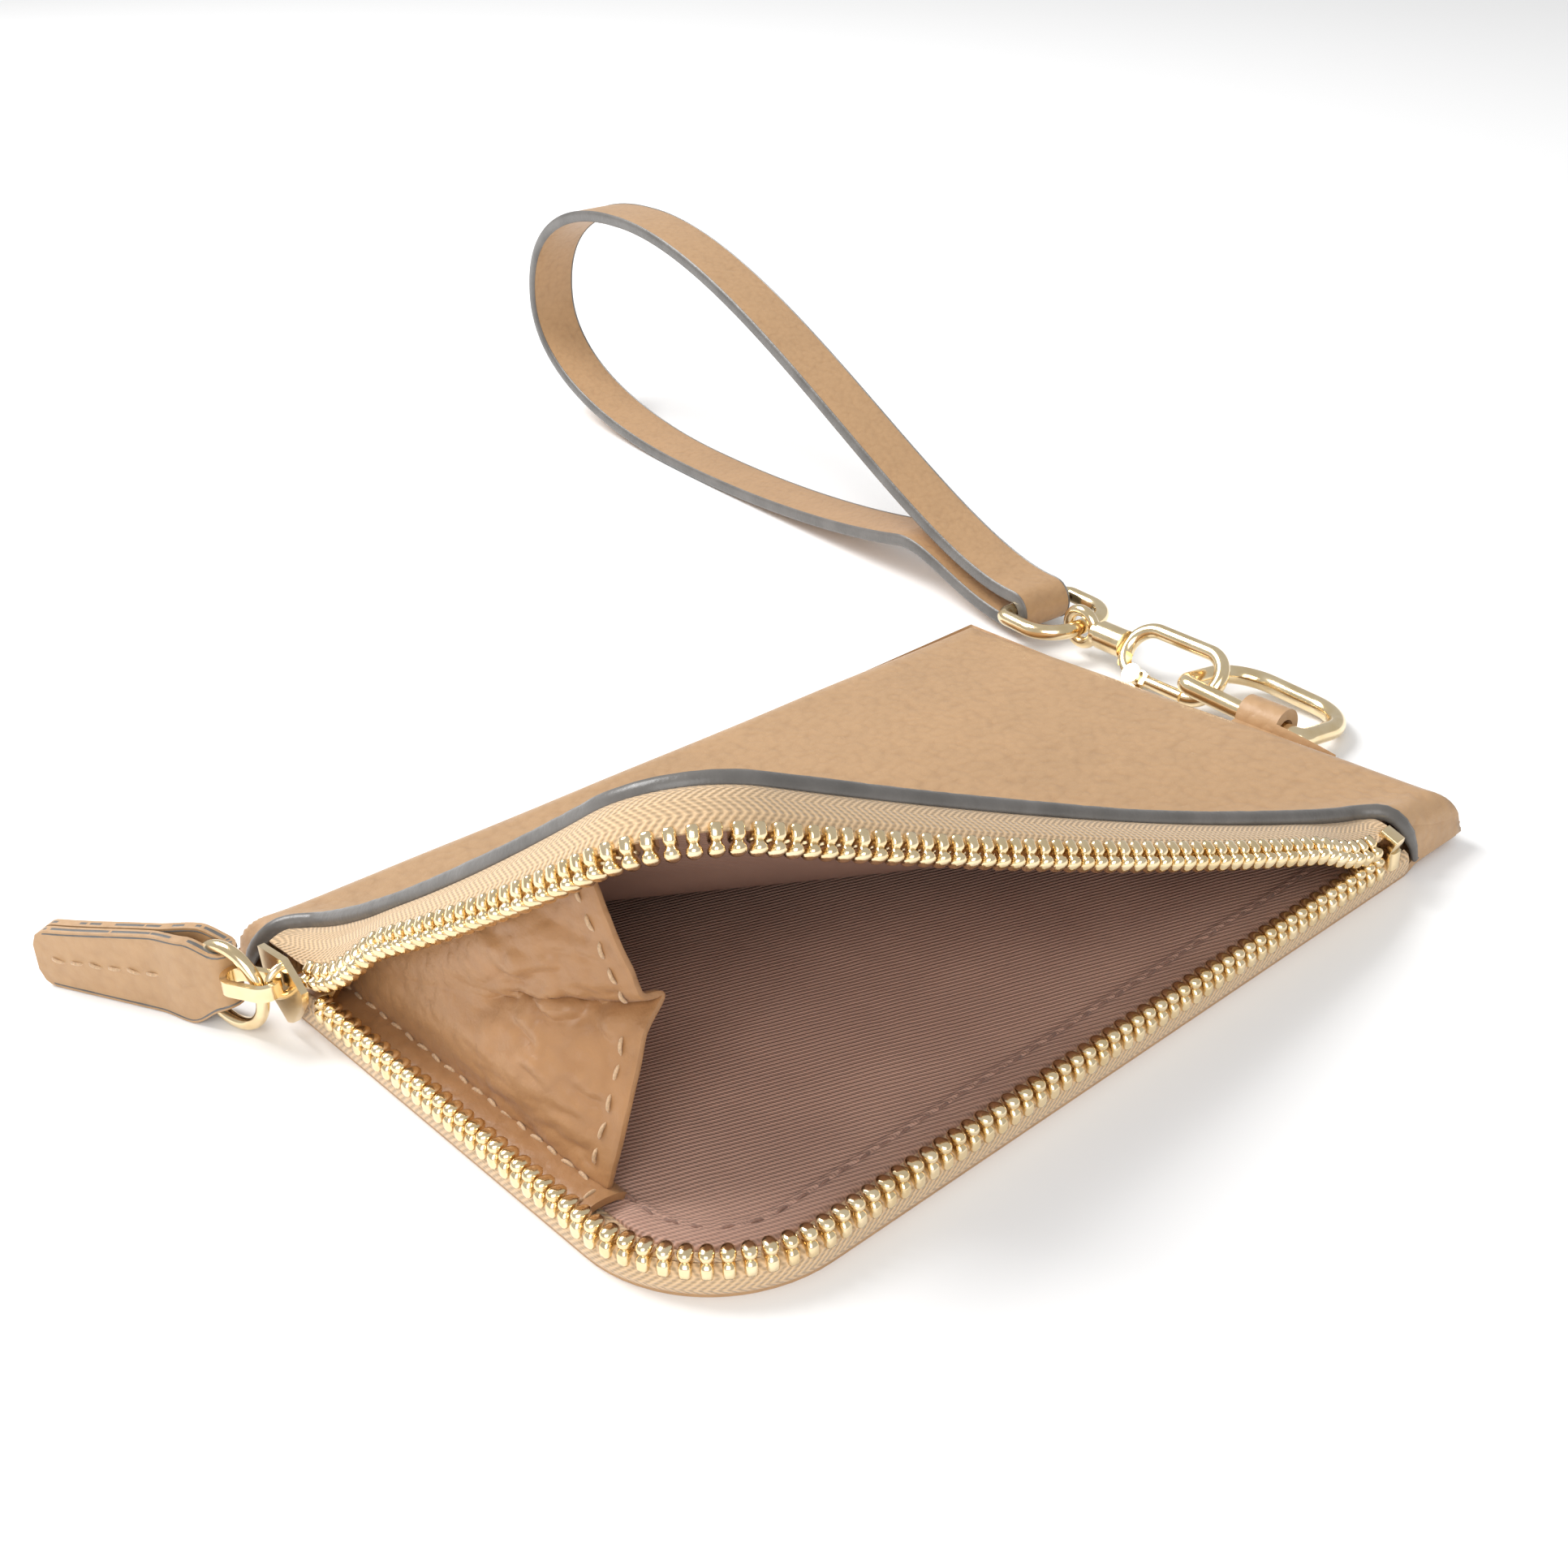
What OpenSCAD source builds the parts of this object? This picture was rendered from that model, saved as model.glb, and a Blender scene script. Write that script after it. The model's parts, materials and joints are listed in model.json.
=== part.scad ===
// Small leather zip pouch with an L-shaped metal zip, a side gusset and a clip-on wrist strap.
// It lies on its back panel, with the zip open and the mouth raised. Millimetres, +Z up.

/* [Pouch body] */
// Length of the pouch along its long zipped side
body_l = 134; // [110:1:160]
// Width of the pouch along its short zipped side
body_w = 90; // [70:1:110]
// Radius of the corner that the zip runs round
corner_r = 18; // [8:1:25]
// Thickness of the leather panels
leather_t = 1.3; // [0.8:0.1:2]
// Thickness of the cloth linings
lining_t = 0.4; // [0.2:0.1:0.8]
// Height of the closed corner opposite the zip
seam_h = 4; // [3:0.5:8]
// Height of the line that the front panel folds along
fold_z = 8.2; // [7.5:0.1:12]
// Slope of the front panel's mouth half as shown
open_slope = 40; // [5:1:50]
// Slope of the front panel's mouth half with the zip closed
shut_slope = 2.6; // [2:0.1:6]

/* [Zip] */
// Distance between neighbouring zip teeth
tooth_pitch = 2.1; // [1.6:0.1:3]
// Size of a tooth along the zip
tooth_len = 1.1; // [0.7:0.1:1.6]
// Size of a tooth across the zip
tooth_wide = 2.6; // [1.6:0.1:4]
// Height of one row of teeth
tooth_h = 2.6; // [1.6:0.1:4]
// Thickness of the zip tapes
tape_t = 0.6; // [0.3:0.1:1]
// Width of the tape sewn inside the panels
tape_sewn = 6.5; // [4:0.5:10]
// Width of leather between a panel's boundary and the cut edge beside the zip
edge_inset = 3.6; // [3.3:0.1:8]
// Where the zip starts, along the short side
zip_from = 82; // [60:1:100]
// Where the zip ends, along the long side
zip_to = 121; // [90:1:150]

/* [Slider and pull] */
// Length of the slider's plates
slider_l = 11; // [7:0.5:14]
// Width of the slider's plates
slider_w = 8.4; // [6:0.2:12]
// Tilt of the slider on the zip
slider_tilt = 38; // [0:1:50]
// Position of the slider along the short side
slider_y = 75; // [60:0.5:84]
// Outer radius of the pull's round ring
pull_ring_r = 6.1; // [4:0.1:9]
// Wire radius of the pull's round ring
pull_wire_r = 0.8; // [0.5:0.05:1.5]
// Length of the leather pull tab
tab_l = 24; // [18:1:45]
// Greatest height of the leather pull tab as it stands on its edge
tab_h = 12; // [8:0.5:18]
// Thickness of each of the pull tab's two layers
tab_layer = 1.5; // [0.8:0.1:2.5]

/* [Ring and snap hook] */
// Length of the ring at the pouch's edge, along its straight bar
ring_l = 24.6; // [18:0.2:40]
// Width of the ring, from its bar to its bow
ring_w = 17; // [12:0.2:30]
// Wire radius of the ring
ring_wire_r = 1.45; // [1:0.05:2.2]
// Width of the leather tab where it is sewn into the pouch's edge
ring_tab_w = 17.2; // [9:0.2:22]
// Width of the leather tab where it wraps the ring's bar
ring_neck_w = 6.8; // [4:0.2:14]
// Length of the snap hook's loop
hook_l = 20.4; // [14:0.2:32]
// Width of the snap hook's loop
hook_w = 10.4; // [8:0.2:18]
// Wire radius of the snap hook
hook_wire_r = 1.2; // [0.8:0.05:2]
// Width of the D-ring that carries the strap
dring_w = 17; // [12:0.5:24]
// Depth of the D-ring
dring_d = 14; // [10:0.5:22]
// Wire radius of the D-ring
dring_wire_r = 1.25; // [0.8:0.05:2]

/* [Wrist strap] */
// Width of the wrist strap
strap_w = 10; // [6:0.5:16]
// Thickness of the wrist strap
strap_t = 2.2; // [1.2:0.1:3.5]
// Height of the standing strap loop
strap_rise = 48; // [20:1:70]
// Reach of the strap loop beyond the D-ring
strap_reach = 160.5; // [90:0.5:200]

/* [Hidden] */
$fn = 48;
eps = 0.01;
// The front panel folds along the diagonal between the zip's two ends
diag = sqrt(body_l * body_l + body_w * body_w);
fold_yaw = atan2(body_w, -body_l);
half_diag = body_l * body_w / diag;
rear_slope = asin((fold_z - seam_h) / half_diag);
swing_up = open_slope - shut_slope;
fold_gap = 0.8;
// The row of teeth runs just inside the boundary
zip_c = 0.5;
lower_top = 6.2;
upper_foot = 6.6;
base_top = leather_t;
flange_top = base_top + tape_t;
facing_top = flange_top + 0.7;
row_start = slider_y - 5;
straight_a = row_start - corner_r;
arc_r = corner_r - zip_c;
arc_len = PI * arc_r / 2;
straight_b = zip_to - 6 - corner_r;
row_len = straight_a + arc_len + straight_b;
tooth_count = floor(row_len / tooth_pitch);
// Slider plates lie either side of the teeth
plate_gap = 1.8;
plate_t = 0.9;
slider_z = 7.6;
bail_x = zip_c - plate_gap - plate_t;
bail_y = slider_y - 2.2;
bail_z = 8.1;
bail_out = 2.45;
bail_half_h = 2.5;
bail_r = 0.5;
// The pull hangs from the slider by a band link, a wire ring and the folded leather tab
link_l = 7.7;
link_w = 4.2;
link_t = 0.8;
link_h = 1.9;
link_yaw = 118;
link_x = -5.3;
link_y = 74.9;
pull_c_r = pull_ring_r - pull_wire_r;
pull_x = -6.2;
pull_y = 78.8;
pull_z = pull_ring_r + 0.3;
pull_yaw = 104.6;
tab_yaw = 116.5;
tab_gap = 0.25;
tab_fold = 5;
fold_half = pull_wire_r + tab_gap + tab_layer * 0.8;
// Key ring, hook, swivel and D-ring lie in a chain beside the long closed side
ring_axis_x = body_l + 3.1;
ring_axis_z = 4.7;
ring_y = 38.6;
ring_tilt = 10;
ring_roll = 4;
ring_corner = 3.2;
ring_bow = 8.4;
ring_tab_y = 28.8;
slot_gap = 0.3;
hook_yaw = 3;
hook_tilt = 47;
hook_x = 141.55;
hook_y = 54.6;
hook_z = 5.2;
neck_l = 5.2;
post_r = 1;
post_l = 3;
eye_r = 3.2;
eye_wire_r = 0.95;
// The strap's loop stands in an upright plane beyond the D-ring
strap_yaw = 6.8;
bar_x = 143.9;
bar_y = 85.1;
bar_z = 5.2;
strap_fold_r = dring_wire_r + 0.12 + strap_t / 2;
curve_steps = 14;
// The origin is under the middle of the whole object's bounding box
origin_x = 74.13;
origin_y = 122.35;

leather_c = [0.74, 0.56, 0.38];
inner_leather_c = [0.6, 0.42, 0.27];
lining_c = [0.6, 0.44, 0.38];
tape_c = [0.86, 0.74, 0.58];
metal_c = [0.84, 0.7, 0.42];
paint_c = [0.42, 0.41, 0.4];
thread_c = [0.66, 0.48, 0.33];

// Which node to draw

// ---- frames ----

module centred() {
  translate([-origin_x, -origin_y, 0]) children();
}

// Local X runs along the fold towards the slider end, and local Y points to the zipped corner
module fold_frame(slope) {
  translate([body_l / 2, body_w / 2, fold_z]) rotate([0, 0, fold_yaw]) rotate([slope, 0, 0]) children();
}

module to_fold() {
  rotate(-fold_yaw) translate([-body_l / 2, -body_w / 2]) children();
}

// Turns the shut mouth half up to the shown pose
module swung() {
  fold_frame(swing_up) rotate([0, 0, -fold_yaw]) translate([-body_l / 2, -body_w / 2, -fold_z]) children();
}

// ---- outlines ----

module outline(e) {
  corner = corner_r - e;
  difference() {
    translate([e, e]) square([body_l - 2 * e, body_w - 2 * e]);
    translate([e, e]) difference() {
      translate([-1, -1]) square(corner + 1);
      translate([corner, corner]) circle(corner);
    }
  }
}

module zip_window() {
  translate([-5, -5]) square([zip_to + 5, zip_from + 5]);
}

// A band between two insets, along the zipped sides only
module zip_band(e0, e1) {
  intersection() {
    difference() {
      outline(e0);
      outline(e1);
    }
    zip_window();
  }
}

module mouth_side(e) {
  intersection() {
    to_fold() intersection() {
      outline(e);
      zip_window();
    }
    translate([-diag, fold_gap]) square([2 * diag, diag]);
  }
}

module rear_side(e) {
  intersection() {
    to_fold() outline(e);
    translate([-diag, -diag - fold_gap]) square([2 * diag, diag]);
  }
}

// Everything below the fixed half of the front panel
module under_rear(drop) {
  fold_frame(rear_slope) translate([-diag, -diag, -60 - drop]) cube([2 * diag, 2 * diag, 60]);
}

// ---- the zip's path ----

function path_x(s) = s < straight_a ? zip_c
  : s < straight_a + arc_len ? corner_r - arc_r * cos((s - straight_a) / arc_r * 180 / PI)
  : corner_r + s - straight_a - arc_len;
function path_y(s) = s < straight_a ? row_start - s
  : s < straight_a + arc_len ? corner_r - arc_r * sin((s - straight_a) / arc_r * 180 / PI)
  : zip_c;
function path_turn(s) = s < straight_a ? 0
  : s < straight_a + arc_len ? (s - straight_a) / arc_r * 180 / PI
  : 90;

// Legs clamp the tape, and the round head meets the other row
module tooth(up) {
  head_z = up ? tooth_h - tooth_len / 2 : tooth_len / 2;
  leg_z = up ? 0 : tooth_len / 2;
  translate([-tooth_wide / 2, -tooth_len / 2, leg_z]) cube([tooth_wide, tooth_len, tooth_h - tooth_len / 2]);
  translate([-tooth_wide / 2, 0, head_z]) rotate([0, 90, 0]) cylinder(h = tooth_wide, d = tooth_len, $fn = 20);
}

module tooth_row(z, up) {
  for (i = [0 : tooth_count - 1]) {
    s = (i + 0.5) * tooth_pitch;
    translate([path_x(s), path_y(s), z]) rotate([0, 0, path_turn(s)]) tooth(up);
  }
}

// ---- pouch ----

module back_panel() color(leather_c) {
  difference() {
    union() {
      linear_extrude(leather_t) outline(0);
      intersection() {
        translate([0, 0, leather_t - eps]) linear_extrude(fold_z) difference() {
          outline(0);
          outline(leather_t);
          translate([-1, -1]) square([zip_to + 12, zip_from + 3]);
        }
        under_rear(leather_t);
        translate([-5, -5, -5]) cube([body_l + 10, body_w + 10, fold_z - leather_t + 4.4]);
      }
    }
    translate([body_l - 4, ring_tab_y - slot_gap - ring_tab_w / 2, 2.2]) cube([8, ring_tab_w + 2 * slot_gap, 9]);
  }
}

module front_panel() color(leather_c)
  fold_frame(rear_slope) translate([0, 0, -leather_t]) linear_extrude(leather_t) rear_side(0);

// Leather that carries on round the side past the end of the zip
module side_wrap() color(leather_c) intersection() {
  translate([zip_to + 0.6, 0, base_top]) cube([10.3, leather_t, fold_z]);
  under_rear(leather_t);
  translate([-5, -5, -5]) cube([body_l + 10, body_w + 10, fold_z - leather_t + 4.4]);
}

module back_lining() color(lining_c)
  translate([0, 0, base_top]) linear_extrude(lining_t) intersection() {
    outline(zip_c + tape_sewn + 0.4);
    translate([13, 0]) square([body_l - 13 - leather_t - 0.2, body_w - leather_t - 0.2]);
  }

module front_lining() color(lining_c)
  fold_frame(rear_slope) translate([0, 0, -leather_t - lining_t]) linear_extrude(lining_t) rear_side(4);

module side_facing() color(inner_leather_c)
  translate([0, 0, flange_top]) linear_extrude(facing_top - flange_top) intersection() {
    outline(3.6);
    translate([0, corner_r]) square([12.6, zip_from - corner_r]);
  }

// A lying stitch with round ends would be finer than the thread, so each is one short rod
module stitch(len, r) {
  rotate([90, 0, 0]) cylinder(h = len, r = r, center = true, $fn = 14);
}

module facing_stitches() color(thread_c)
  for (y = [corner_r + 3 : 3 : zip_from - 3]) translate([11.2, y, facing_top]) stitch(2.1, 0.3);

module lining_stitches() color(thread_c)
  for (x = [corner_r + 6 : 3 : zip_to - 4])
    translate([x, zip_c + tape_sewn + 3, base_top + lining_t]) rotate([0, 0, 90]) stitch(2.1, 0.25);

module lower_tape() color(tape_c) {
  translate([0, 0, base_top]) linear_extrude(tape_t) zip_band(zip_c - tape_t / 2, zip_c + tape_sewn);
  translate([0, 0, base_top]) linear_extrude(lower_top - tooth_h - base_top) zip_band(zip_c - tape_t / 2, zip_c + tape_t / 2);
}

module lower_teeth() color(metal_c) tooth_row(lower_top - tooth_h, true);

module zip_stop(z, h) {
  s = row_len + 1;
  translate([path_x(s) - 1, path_y(s) - tooth_wide / 2, z]) cube([2.4, tooth_wide, h]);
}

module lower_stop() color(metal_c) zip_stop(lower_top - tooth_h, tooth_h - 0.2);

// ---- side gusset ----

// A point that is carried up with the mouth half of the front panel
function swing_point(p) =
  let(
    ux = cos(fold_yaw), uy = sin(fold_yaw),
    dx = p[0] - body_l / 2, dy = p[1] - body_w / 2, dz = p[2] - fold_z,
    along = dx * ux + dy * uy,
    out = -dx * uy + dy * ux,
    out2 = out * cos(swing_up) - dz * sin(swing_up),
    up2 = out * sin(swing_up) + dz * cos(swing_up)
  )
  [body_l / 2 + along * ux - out2 * uy, body_w / 2 + along * uy + out2 * ux, fold_z + up2];

function flap_depth(x, y) = ((body_l / 2 - x) * body_w + (body_w / 2 - y) * body_l) / diag;
function flap_under(x, y) = fold_z + flap_depth(x, y) * sin(shut_slope) - leather_t - tape_t - 0.5;

gusset_x = 9;
gusset_t = 0.9;
gusset_rows = 10;
gusset_from = 72;
gusset_to = 21;
pleat_in = 11;

function gusset_y(i) = gusset_from + (gusset_to - gusset_from) * i / gusset_rows;
// Three lines of points: foot on the back panel, pleat tip, and top edge under the flap
function gusset_point(i, j, side) =
  let(
    y = gusset_y(i), t = i / gusset_rows,
    foot = [gusset_x + side * gusset_t, y, facing_top + 0.05],
    top = swing_point([gusset_x - 2.2 + side * gusset_t, y, flap_under(gusset_x, y) - 0.3]),
    mid = (foot + top) / 2 + [pleat_in * t + 1, -1.5 * t, 0]
  )
  j == 0 ? foot : j == 1 ? mid : top;

module gusset() {
  n = gusset_rows;
  pts = [for (side = [0, 1]) for (i = [0 : n]) for (j = [0 : 2]) gusset_point(i, j, side)];
  function at(side, i, j) = side * (n + 1) * 3 + i * 3 + j;
  skin0 = [for (i = [0 : n - 1]) for (j = [0, 1]) for (k = [0, 1])
    k == 0 ? [at(0, i, j), at(0, i + 1, j), at(0, i + 1, j + 1)] : [at(0, i, j), at(0, i + 1, j + 1), at(0, i, j + 1)]];
  skin1 = [for (i = [0 : n - 1]) for (j = [0, 1]) for (k = [0, 1])
    k == 0 ? [at(1, i, j), at(1, i + 1, j + 1), at(1, i + 1, j)] : [at(1, i, j), at(1, i, j + 1), at(1, i + 1, j + 1)]];
  foot = [for (i = [0 : n - 1]) for (k = [0, 1])
    k == 0 ? [at(0, i, 0), at(1, i, 0), at(1, i + 1, 0)] : [at(0, i, 0), at(1, i + 1, 0), at(0, i + 1, 0)]];
  head = [for (i = [0 : n - 1]) for (k = [0, 1])
    k == 0 ? [at(0, i, 2), at(1, i + 1, 2), at(1, i, 2)] : [at(0, i, 2), at(0, i + 1, 2), at(1, i + 1, 2)]];
  near = [for (j = [0, 1]) for (k = [0, 1])
    k == 0 ? [at(0, 0, j), at(0, 0, j + 1), at(1, 0, j + 1)] : [at(0, 0, j), at(1, 0, j + 1), at(1, 0, j)]];
  far = [for (j = [0, 1]) for (k = [0, 1])
    k == 0 ? [at(0, n, j), at(1, n, j + 1), at(0, n, j + 1)] : [at(0, n, j), at(1, n, j), at(1, n, j + 1)]];
  color(inner_leather_c) polyhedron(points = pts, faces = concat(skin0, skin1, foot, head, near, far));
}

// ---- mouth half of the front panel ----

module front_flap() color(leather_c) swung()
  fold_frame(shut_slope) translate([0, 0, -leather_t]) linear_extrude(leather_t) mouth_side(edge_inset + 1.2);

// Painted bead along the cut edge beside the zip
module flap_edge() color(paint_c) swung()
  fold_frame(shut_slope) translate([0, 0, -leather_t]) linear_extrude(leather_t + 0.3) difference() {
    mouth_side(edge_inset);
    to_fold() outline(edge_inset + 1.2);
  }

module flap_lining() color(inner_leather_c) swung()
  fold_frame(shut_slope) translate([0, 0, -leather_t - lining_t]) linear_extrude(lining_t) mouth_side(zip_c + tape_sewn + 0.2);

module upper_tape() color(tape_c) swung() {
  fold_frame(shut_slope) translate([0, 0, -leather_t - tape_t]) linear_extrude(tape_t) difference() {
    mouth_side(zip_c - tape_t / 2);
    to_fold() outline(zip_c + tape_sewn);
  }
  intersection() {
    translate([0, 0, upper_foot + tooth_h]) linear_extrude(8) intersection() {
      zip_band(zip_c - tape_t / 2, zip_c + tape_t / 2);
      translate([-5, -5]) square([zip_to + 5, row_start + 5]);
    }
    fold_frame(shut_slope) translate([-diag, 2, -60 - leather_t]) cube([2 * diag, diag, 60]);
  }
}

module upper_teeth() color(metal_c) swung() tooth_row(upper_foot, false);

module upper_stop() color(metal_c) swung() zip_stop(upper_foot + 0.2, tooth_h - 0.2);

// ---- slider and pull ----

module plate_shape() {
  intersection() {
    square([slider_l, slider_w], center = true);
    translate([slider_l * 0.14, 0]) circle(slider_l * 0.68);
    translate([-slider_l * 0.3, 0]) rotate(45) square(slider_l * 0.98, center = true);
  }
}

// Plate shape turned to stand along the zip, nose up
module plate(x) {
  translate([x, slider_y, slider_z]) rotate([slider_tilt, 0, 0]) rotate([90, 0, 90]) linear_extrude(plate_t) plate_shape();
}

module slider_body() color(metal_c) {
  plate(bail_x);
  intersection() {
    plate(zip_c + plate_gap);
    translate([-10, slider_y - 20, facing_top + 0.3]) cube([20, 40, lower_top + 0.3 - facing_top - 0.3]);
  }
  translate([bail_x + eps, slider_y + 0.2, lower_top + 0.08]) cube([2 * plate_gap + 2 * plate_t - 2 * eps, 2.6, 0.24]);
}

// Upright arch on the outer plate that the pull hangs from
module slider_bail() color(metal_c) translate([bail_x, bail_y, bail_z]) {
  arch_r = bail_half_h - bail_r;
  leg = bail_out - bail_half_h;
  difference() {
    translate([-leg, 0, 0]) rotate([90, 0, 0]) rotate_extrude(angle = 180, start = 90)
      translate([arch_r, 0]) circle(bail_r, $fn = 24);
    translate([0, -5, -10]) cube([10, 10, 20]);
  }
}

module oblong(l, w) {
  translate([-l / 2 + w / 2, 0]) circle(w / 2);
  translate([l / 2 - w / 2, 0]) circle(w / 2);
  square([l - w, w], center = true);
}

module pull_link() color(metal_c) translate([link_x, link_y, bail_z - link_h / 2]) rotate([0, 0, link_yaw])
  linear_extrude(link_h) difference() {
    oblong(link_l, link_w);
    oblong(link_l - 2 * link_t, link_w - 2 * link_t);
  }

// Local Y is the wire ring's axis
module pull_frame() {
  translate([pull_x, pull_y, pull_z]) rotate([0, 0, pull_yaw]) children();
}

// Local X runs from the wire inside the leather fold out along the pull tab, and Z from the floor
module tab_frame() {
  translate([pull_x + pull_c_r * cos(pull_yaw), pull_y + pull_c_r * sin(pull_yaw), 0]) rotate([0, 0, tab_yaw]) children();
}

module pull_wire(r) {
  pull_frame() rotate([90, 0, 0]) rotate_extrude() translate([pull_c_r, 0]) circle(r, $fn = 28);
}

module pull_ring() color(metal_c) pull_wire(pull_wire_r);

// One strip folded round the ring, its two layers sewn together
module tab_plan() {
  polygon([[-tab_fold, -fold_half], [0.5, -fold_half], [6, -tab_layer], [tab_l, -tab_layer],
    [tab_l, tab_layer], [6, tab_layer], [0.5, fold_half], [-tab_fold, fold_half]]);
}

// Side view: narrow at the ring, widest near it, tapering to a blunt rounded end
module tab_side() {
  end_h = tab_h * 0.68;
  end_r = 2;
  translate([0, 0.05]) {
    polygon([[-tab_fold, 3.2], [1.5, 0], [tab_l - end_r, 0], [tab_l - end_r, end_h],
      [7, tab_h * 0.95], [0, tab_h], [-tab_fold, tab_h * 0.9]]);
    translate([tab_l - end_r - 0.5, end_r]) square([end_r + 0.5, end_h - 2 * end_r]);
    for (z = [end_r, end_h - end_r]) translate([tab_l - end_r, z]) circle(end_r);
  }
}

module pull_tab() color(leather_c) difference() {
  tab_frame() intersection() {
    translate([0, 0, -1]) linear_extrude(tab_h + 3) tab_plan();
    translate([0, 10, 0]) rotate([90, 0, 0]) linear_extrude(20) tab_side();
  }
  pull_wire(pull_wire_r + tab_gap);
  pull_frame() rotate([90, 0, 0]) cylinder(h = 30, r = pull_c_r - fold_half, center = true, $fn = 64);
}

module pull_tab_stitches() color(thread_c) tab_frame() translate([0, 0, tab_h * 0.45])
  for (x = [8 : 3 : tab_l - 3]) for (side = [-1, 1]) translate([x, side * tab_layer, 0]) rotate([0, 0, 90]) stitch(2.1, 0.28);

// ---- edge ring on its leather tab ----

// Local Y runs along the ring's bar
module ring_frame() {
  translate([ring_axis_x, ring_y, ring_axis_z]) rotate([ring_roll, ring_tilt, 0]) children();
}

// Wire bent into a rounded rectangle in the XY plane, its middle at the origin.
// The corners on the -X side have radius r0 and those on the +X side r1.
module wire_loop(lx, ly, r0, r1, wire) {
  for (sx = [-1, 1]) {
    r = sx < 0 ? r0 : r1;
    translate([sx * (lx / 2 - wire), 0, 0]) rotate([90, 0, 0]) cylinder(h = ly - 2 * r, r = wire, center = true, $fn = 32);
  }
  for (sy = [-1, 1]) translate([-lx / 2 + r0, sy * (ly / 2 - wire), 0]) rotate([0, 90, 0])
    cylinder(h = lx - r0 - r1, r = wire, $fn = 32);
  for (q = [0 : 3]) {
    sx = q == 0 || q == 3 ? 1 : -1;
    sy = q < 2 ? 1 : -1;
    r = sx < 0 ? r0 : r1;
    translate([sx * (lx / 2 - r), sy * (ly / 2 - r), 0]) rotate_extrude(angle = 90, start = q * 90)
      translate([r - wire, 0]) circle(wire, $fn = 32);
  }
}

module key_ring() color(metal_c) ring_frame() translate([ring_w / 2 - ring_wire_r, 0, 0])
  wire_loop(ring_w, ring_l, ring_corner, ring_bow, ring_wire_r);

module ring_tab() color(leather_c) {
  hole = ring_wire_r + 0.45;
  wall = 1.1;
  leg_in = body_l - 7;
  y0 = ring_tab_y - ring_tab_w / 2;
  y1 = ring_tab_y + ring_tab_w / 2;
  difference() {
    intersection() {
      translate([0, y1, 0]) rotate([90, 0, 0]) linear_extrude(ring_tab_w) union() {
        translate([ring_axis_x, ring_axis_z]) circle(hole + wall);
        polygon([[ring_axis_x, ring_axis_z + hole + wall], [body_l + 0.4, 5], [leg_in, 4.6],
          [leg_in, 2.6], [body_l, 2.6], [ring_axis_x, ring_axis_z - hole - wall]]);
      }
      linear_extrude(20) polygon([[leg_in, y0], [body_l + 0.2, y0], [body_l + 0.6, y1 - ring_neck_w],
        [body_l + 12, y1 - ring_neck_w], [body_l + 12, y1], [leg_in, y1]]);
    }
    ring_frame() rotate([90, 0, 0]) cylinder(h = 3 * ring_l, r = hole, center = true);
  }
}

module ring_tab_stitches() color(thread_c)
  for (y = [-5 : 3.2 : 5]) translate([body_l - 2.6, ring_tab_y + y, 2.5]) stitch(2.2, 0.25);

// ---- snap hook, swivel and D-ring ----

// Local X runs along the hook from its nose to its swivel
module hook_frame_at() {
  translate([hook_x, hook_y, hook_z]) rotate([0, 0, 90 - hook_yaw]) rotate([-hook_tilt, 0, 0]) children();
}

hook_mid = hook_w / 2 - hook_wire_r;
gate_pivot = hook_l / 2 - hook_w / 2;
gate_tip = -hook_l / 2 + hook_w / 2 + 0.6;

module hook_frame() color(metal_c) hook_frame_at() {
  difference() {
    union() {
      for (side = [0, 1]) mirror([side, 0, 0]) translate([hook_l / 2 - hook_w / 2, 0, 0])
        rotate_extrude(angle = 180, start = -90) translate([hook_mid, 0]) circle(hook_wire_r, $fn = 32);
      translate([0, -hook_mid, 0]) rotate([0, 90, 0]) cylinder(h = hook_l - hook_w, r = hook_wire_r, center = true, $fn = 32);
      translate([hook_l / 2 - 0.6, 0, 0]) rotate([0, 90, 0]) cylinder(h = neck_l, r = 2.3, $fn = 40);
      translate([gate_pivot, hook_mid, -1.6]) cylinder(h = 3.2, r = 1.55, $fn = 32);
    }
    translate([hook_l / 2 + neck_l - 2.1, 0, 0]) rotate([0, 90, 0]) cylinder(h = 3, r = post_r + 0.06, $fn = 40);
    translate([gate_pivot - 4, hook_mid - 3, -1.02]) cube([7.9, 6, 2.04]);
    translate([gate_pivot, hook_mid, -3]) cylinder(h = 6, r = 0.5, $fn = 24);
  }
}

module gate_pin() color(metal_c) hook_frame_at() translate([gate_pivot, hook_mid, -1.7]) cylinder(h = 3.4, r = 0.5, $fn = 24);

module hook_gate() color(metal_c) hook_frame_at() difference() {
  union() {
    translate([gate_tip, hook_mid, 0]) rotate([0, 90, 0]) cylinder(h = gate_pivot - 2 - gate_tip, r = 0.95, $fn = 32);
    translate([gate_pivot - 2.6, hook_mid - 0.95, -0.95]) cube([2.6, 1.9, 1.9]);
    translate([gate_pivot, hook_mid, -0.95]) cylinder(h = 1.9, r = 1.2, $fn = 32);
  }
  translate([gate_pivot, hook_mid, -3]) cylinder(h = 6, r = 0.56, $fn = 24);
}

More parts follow.
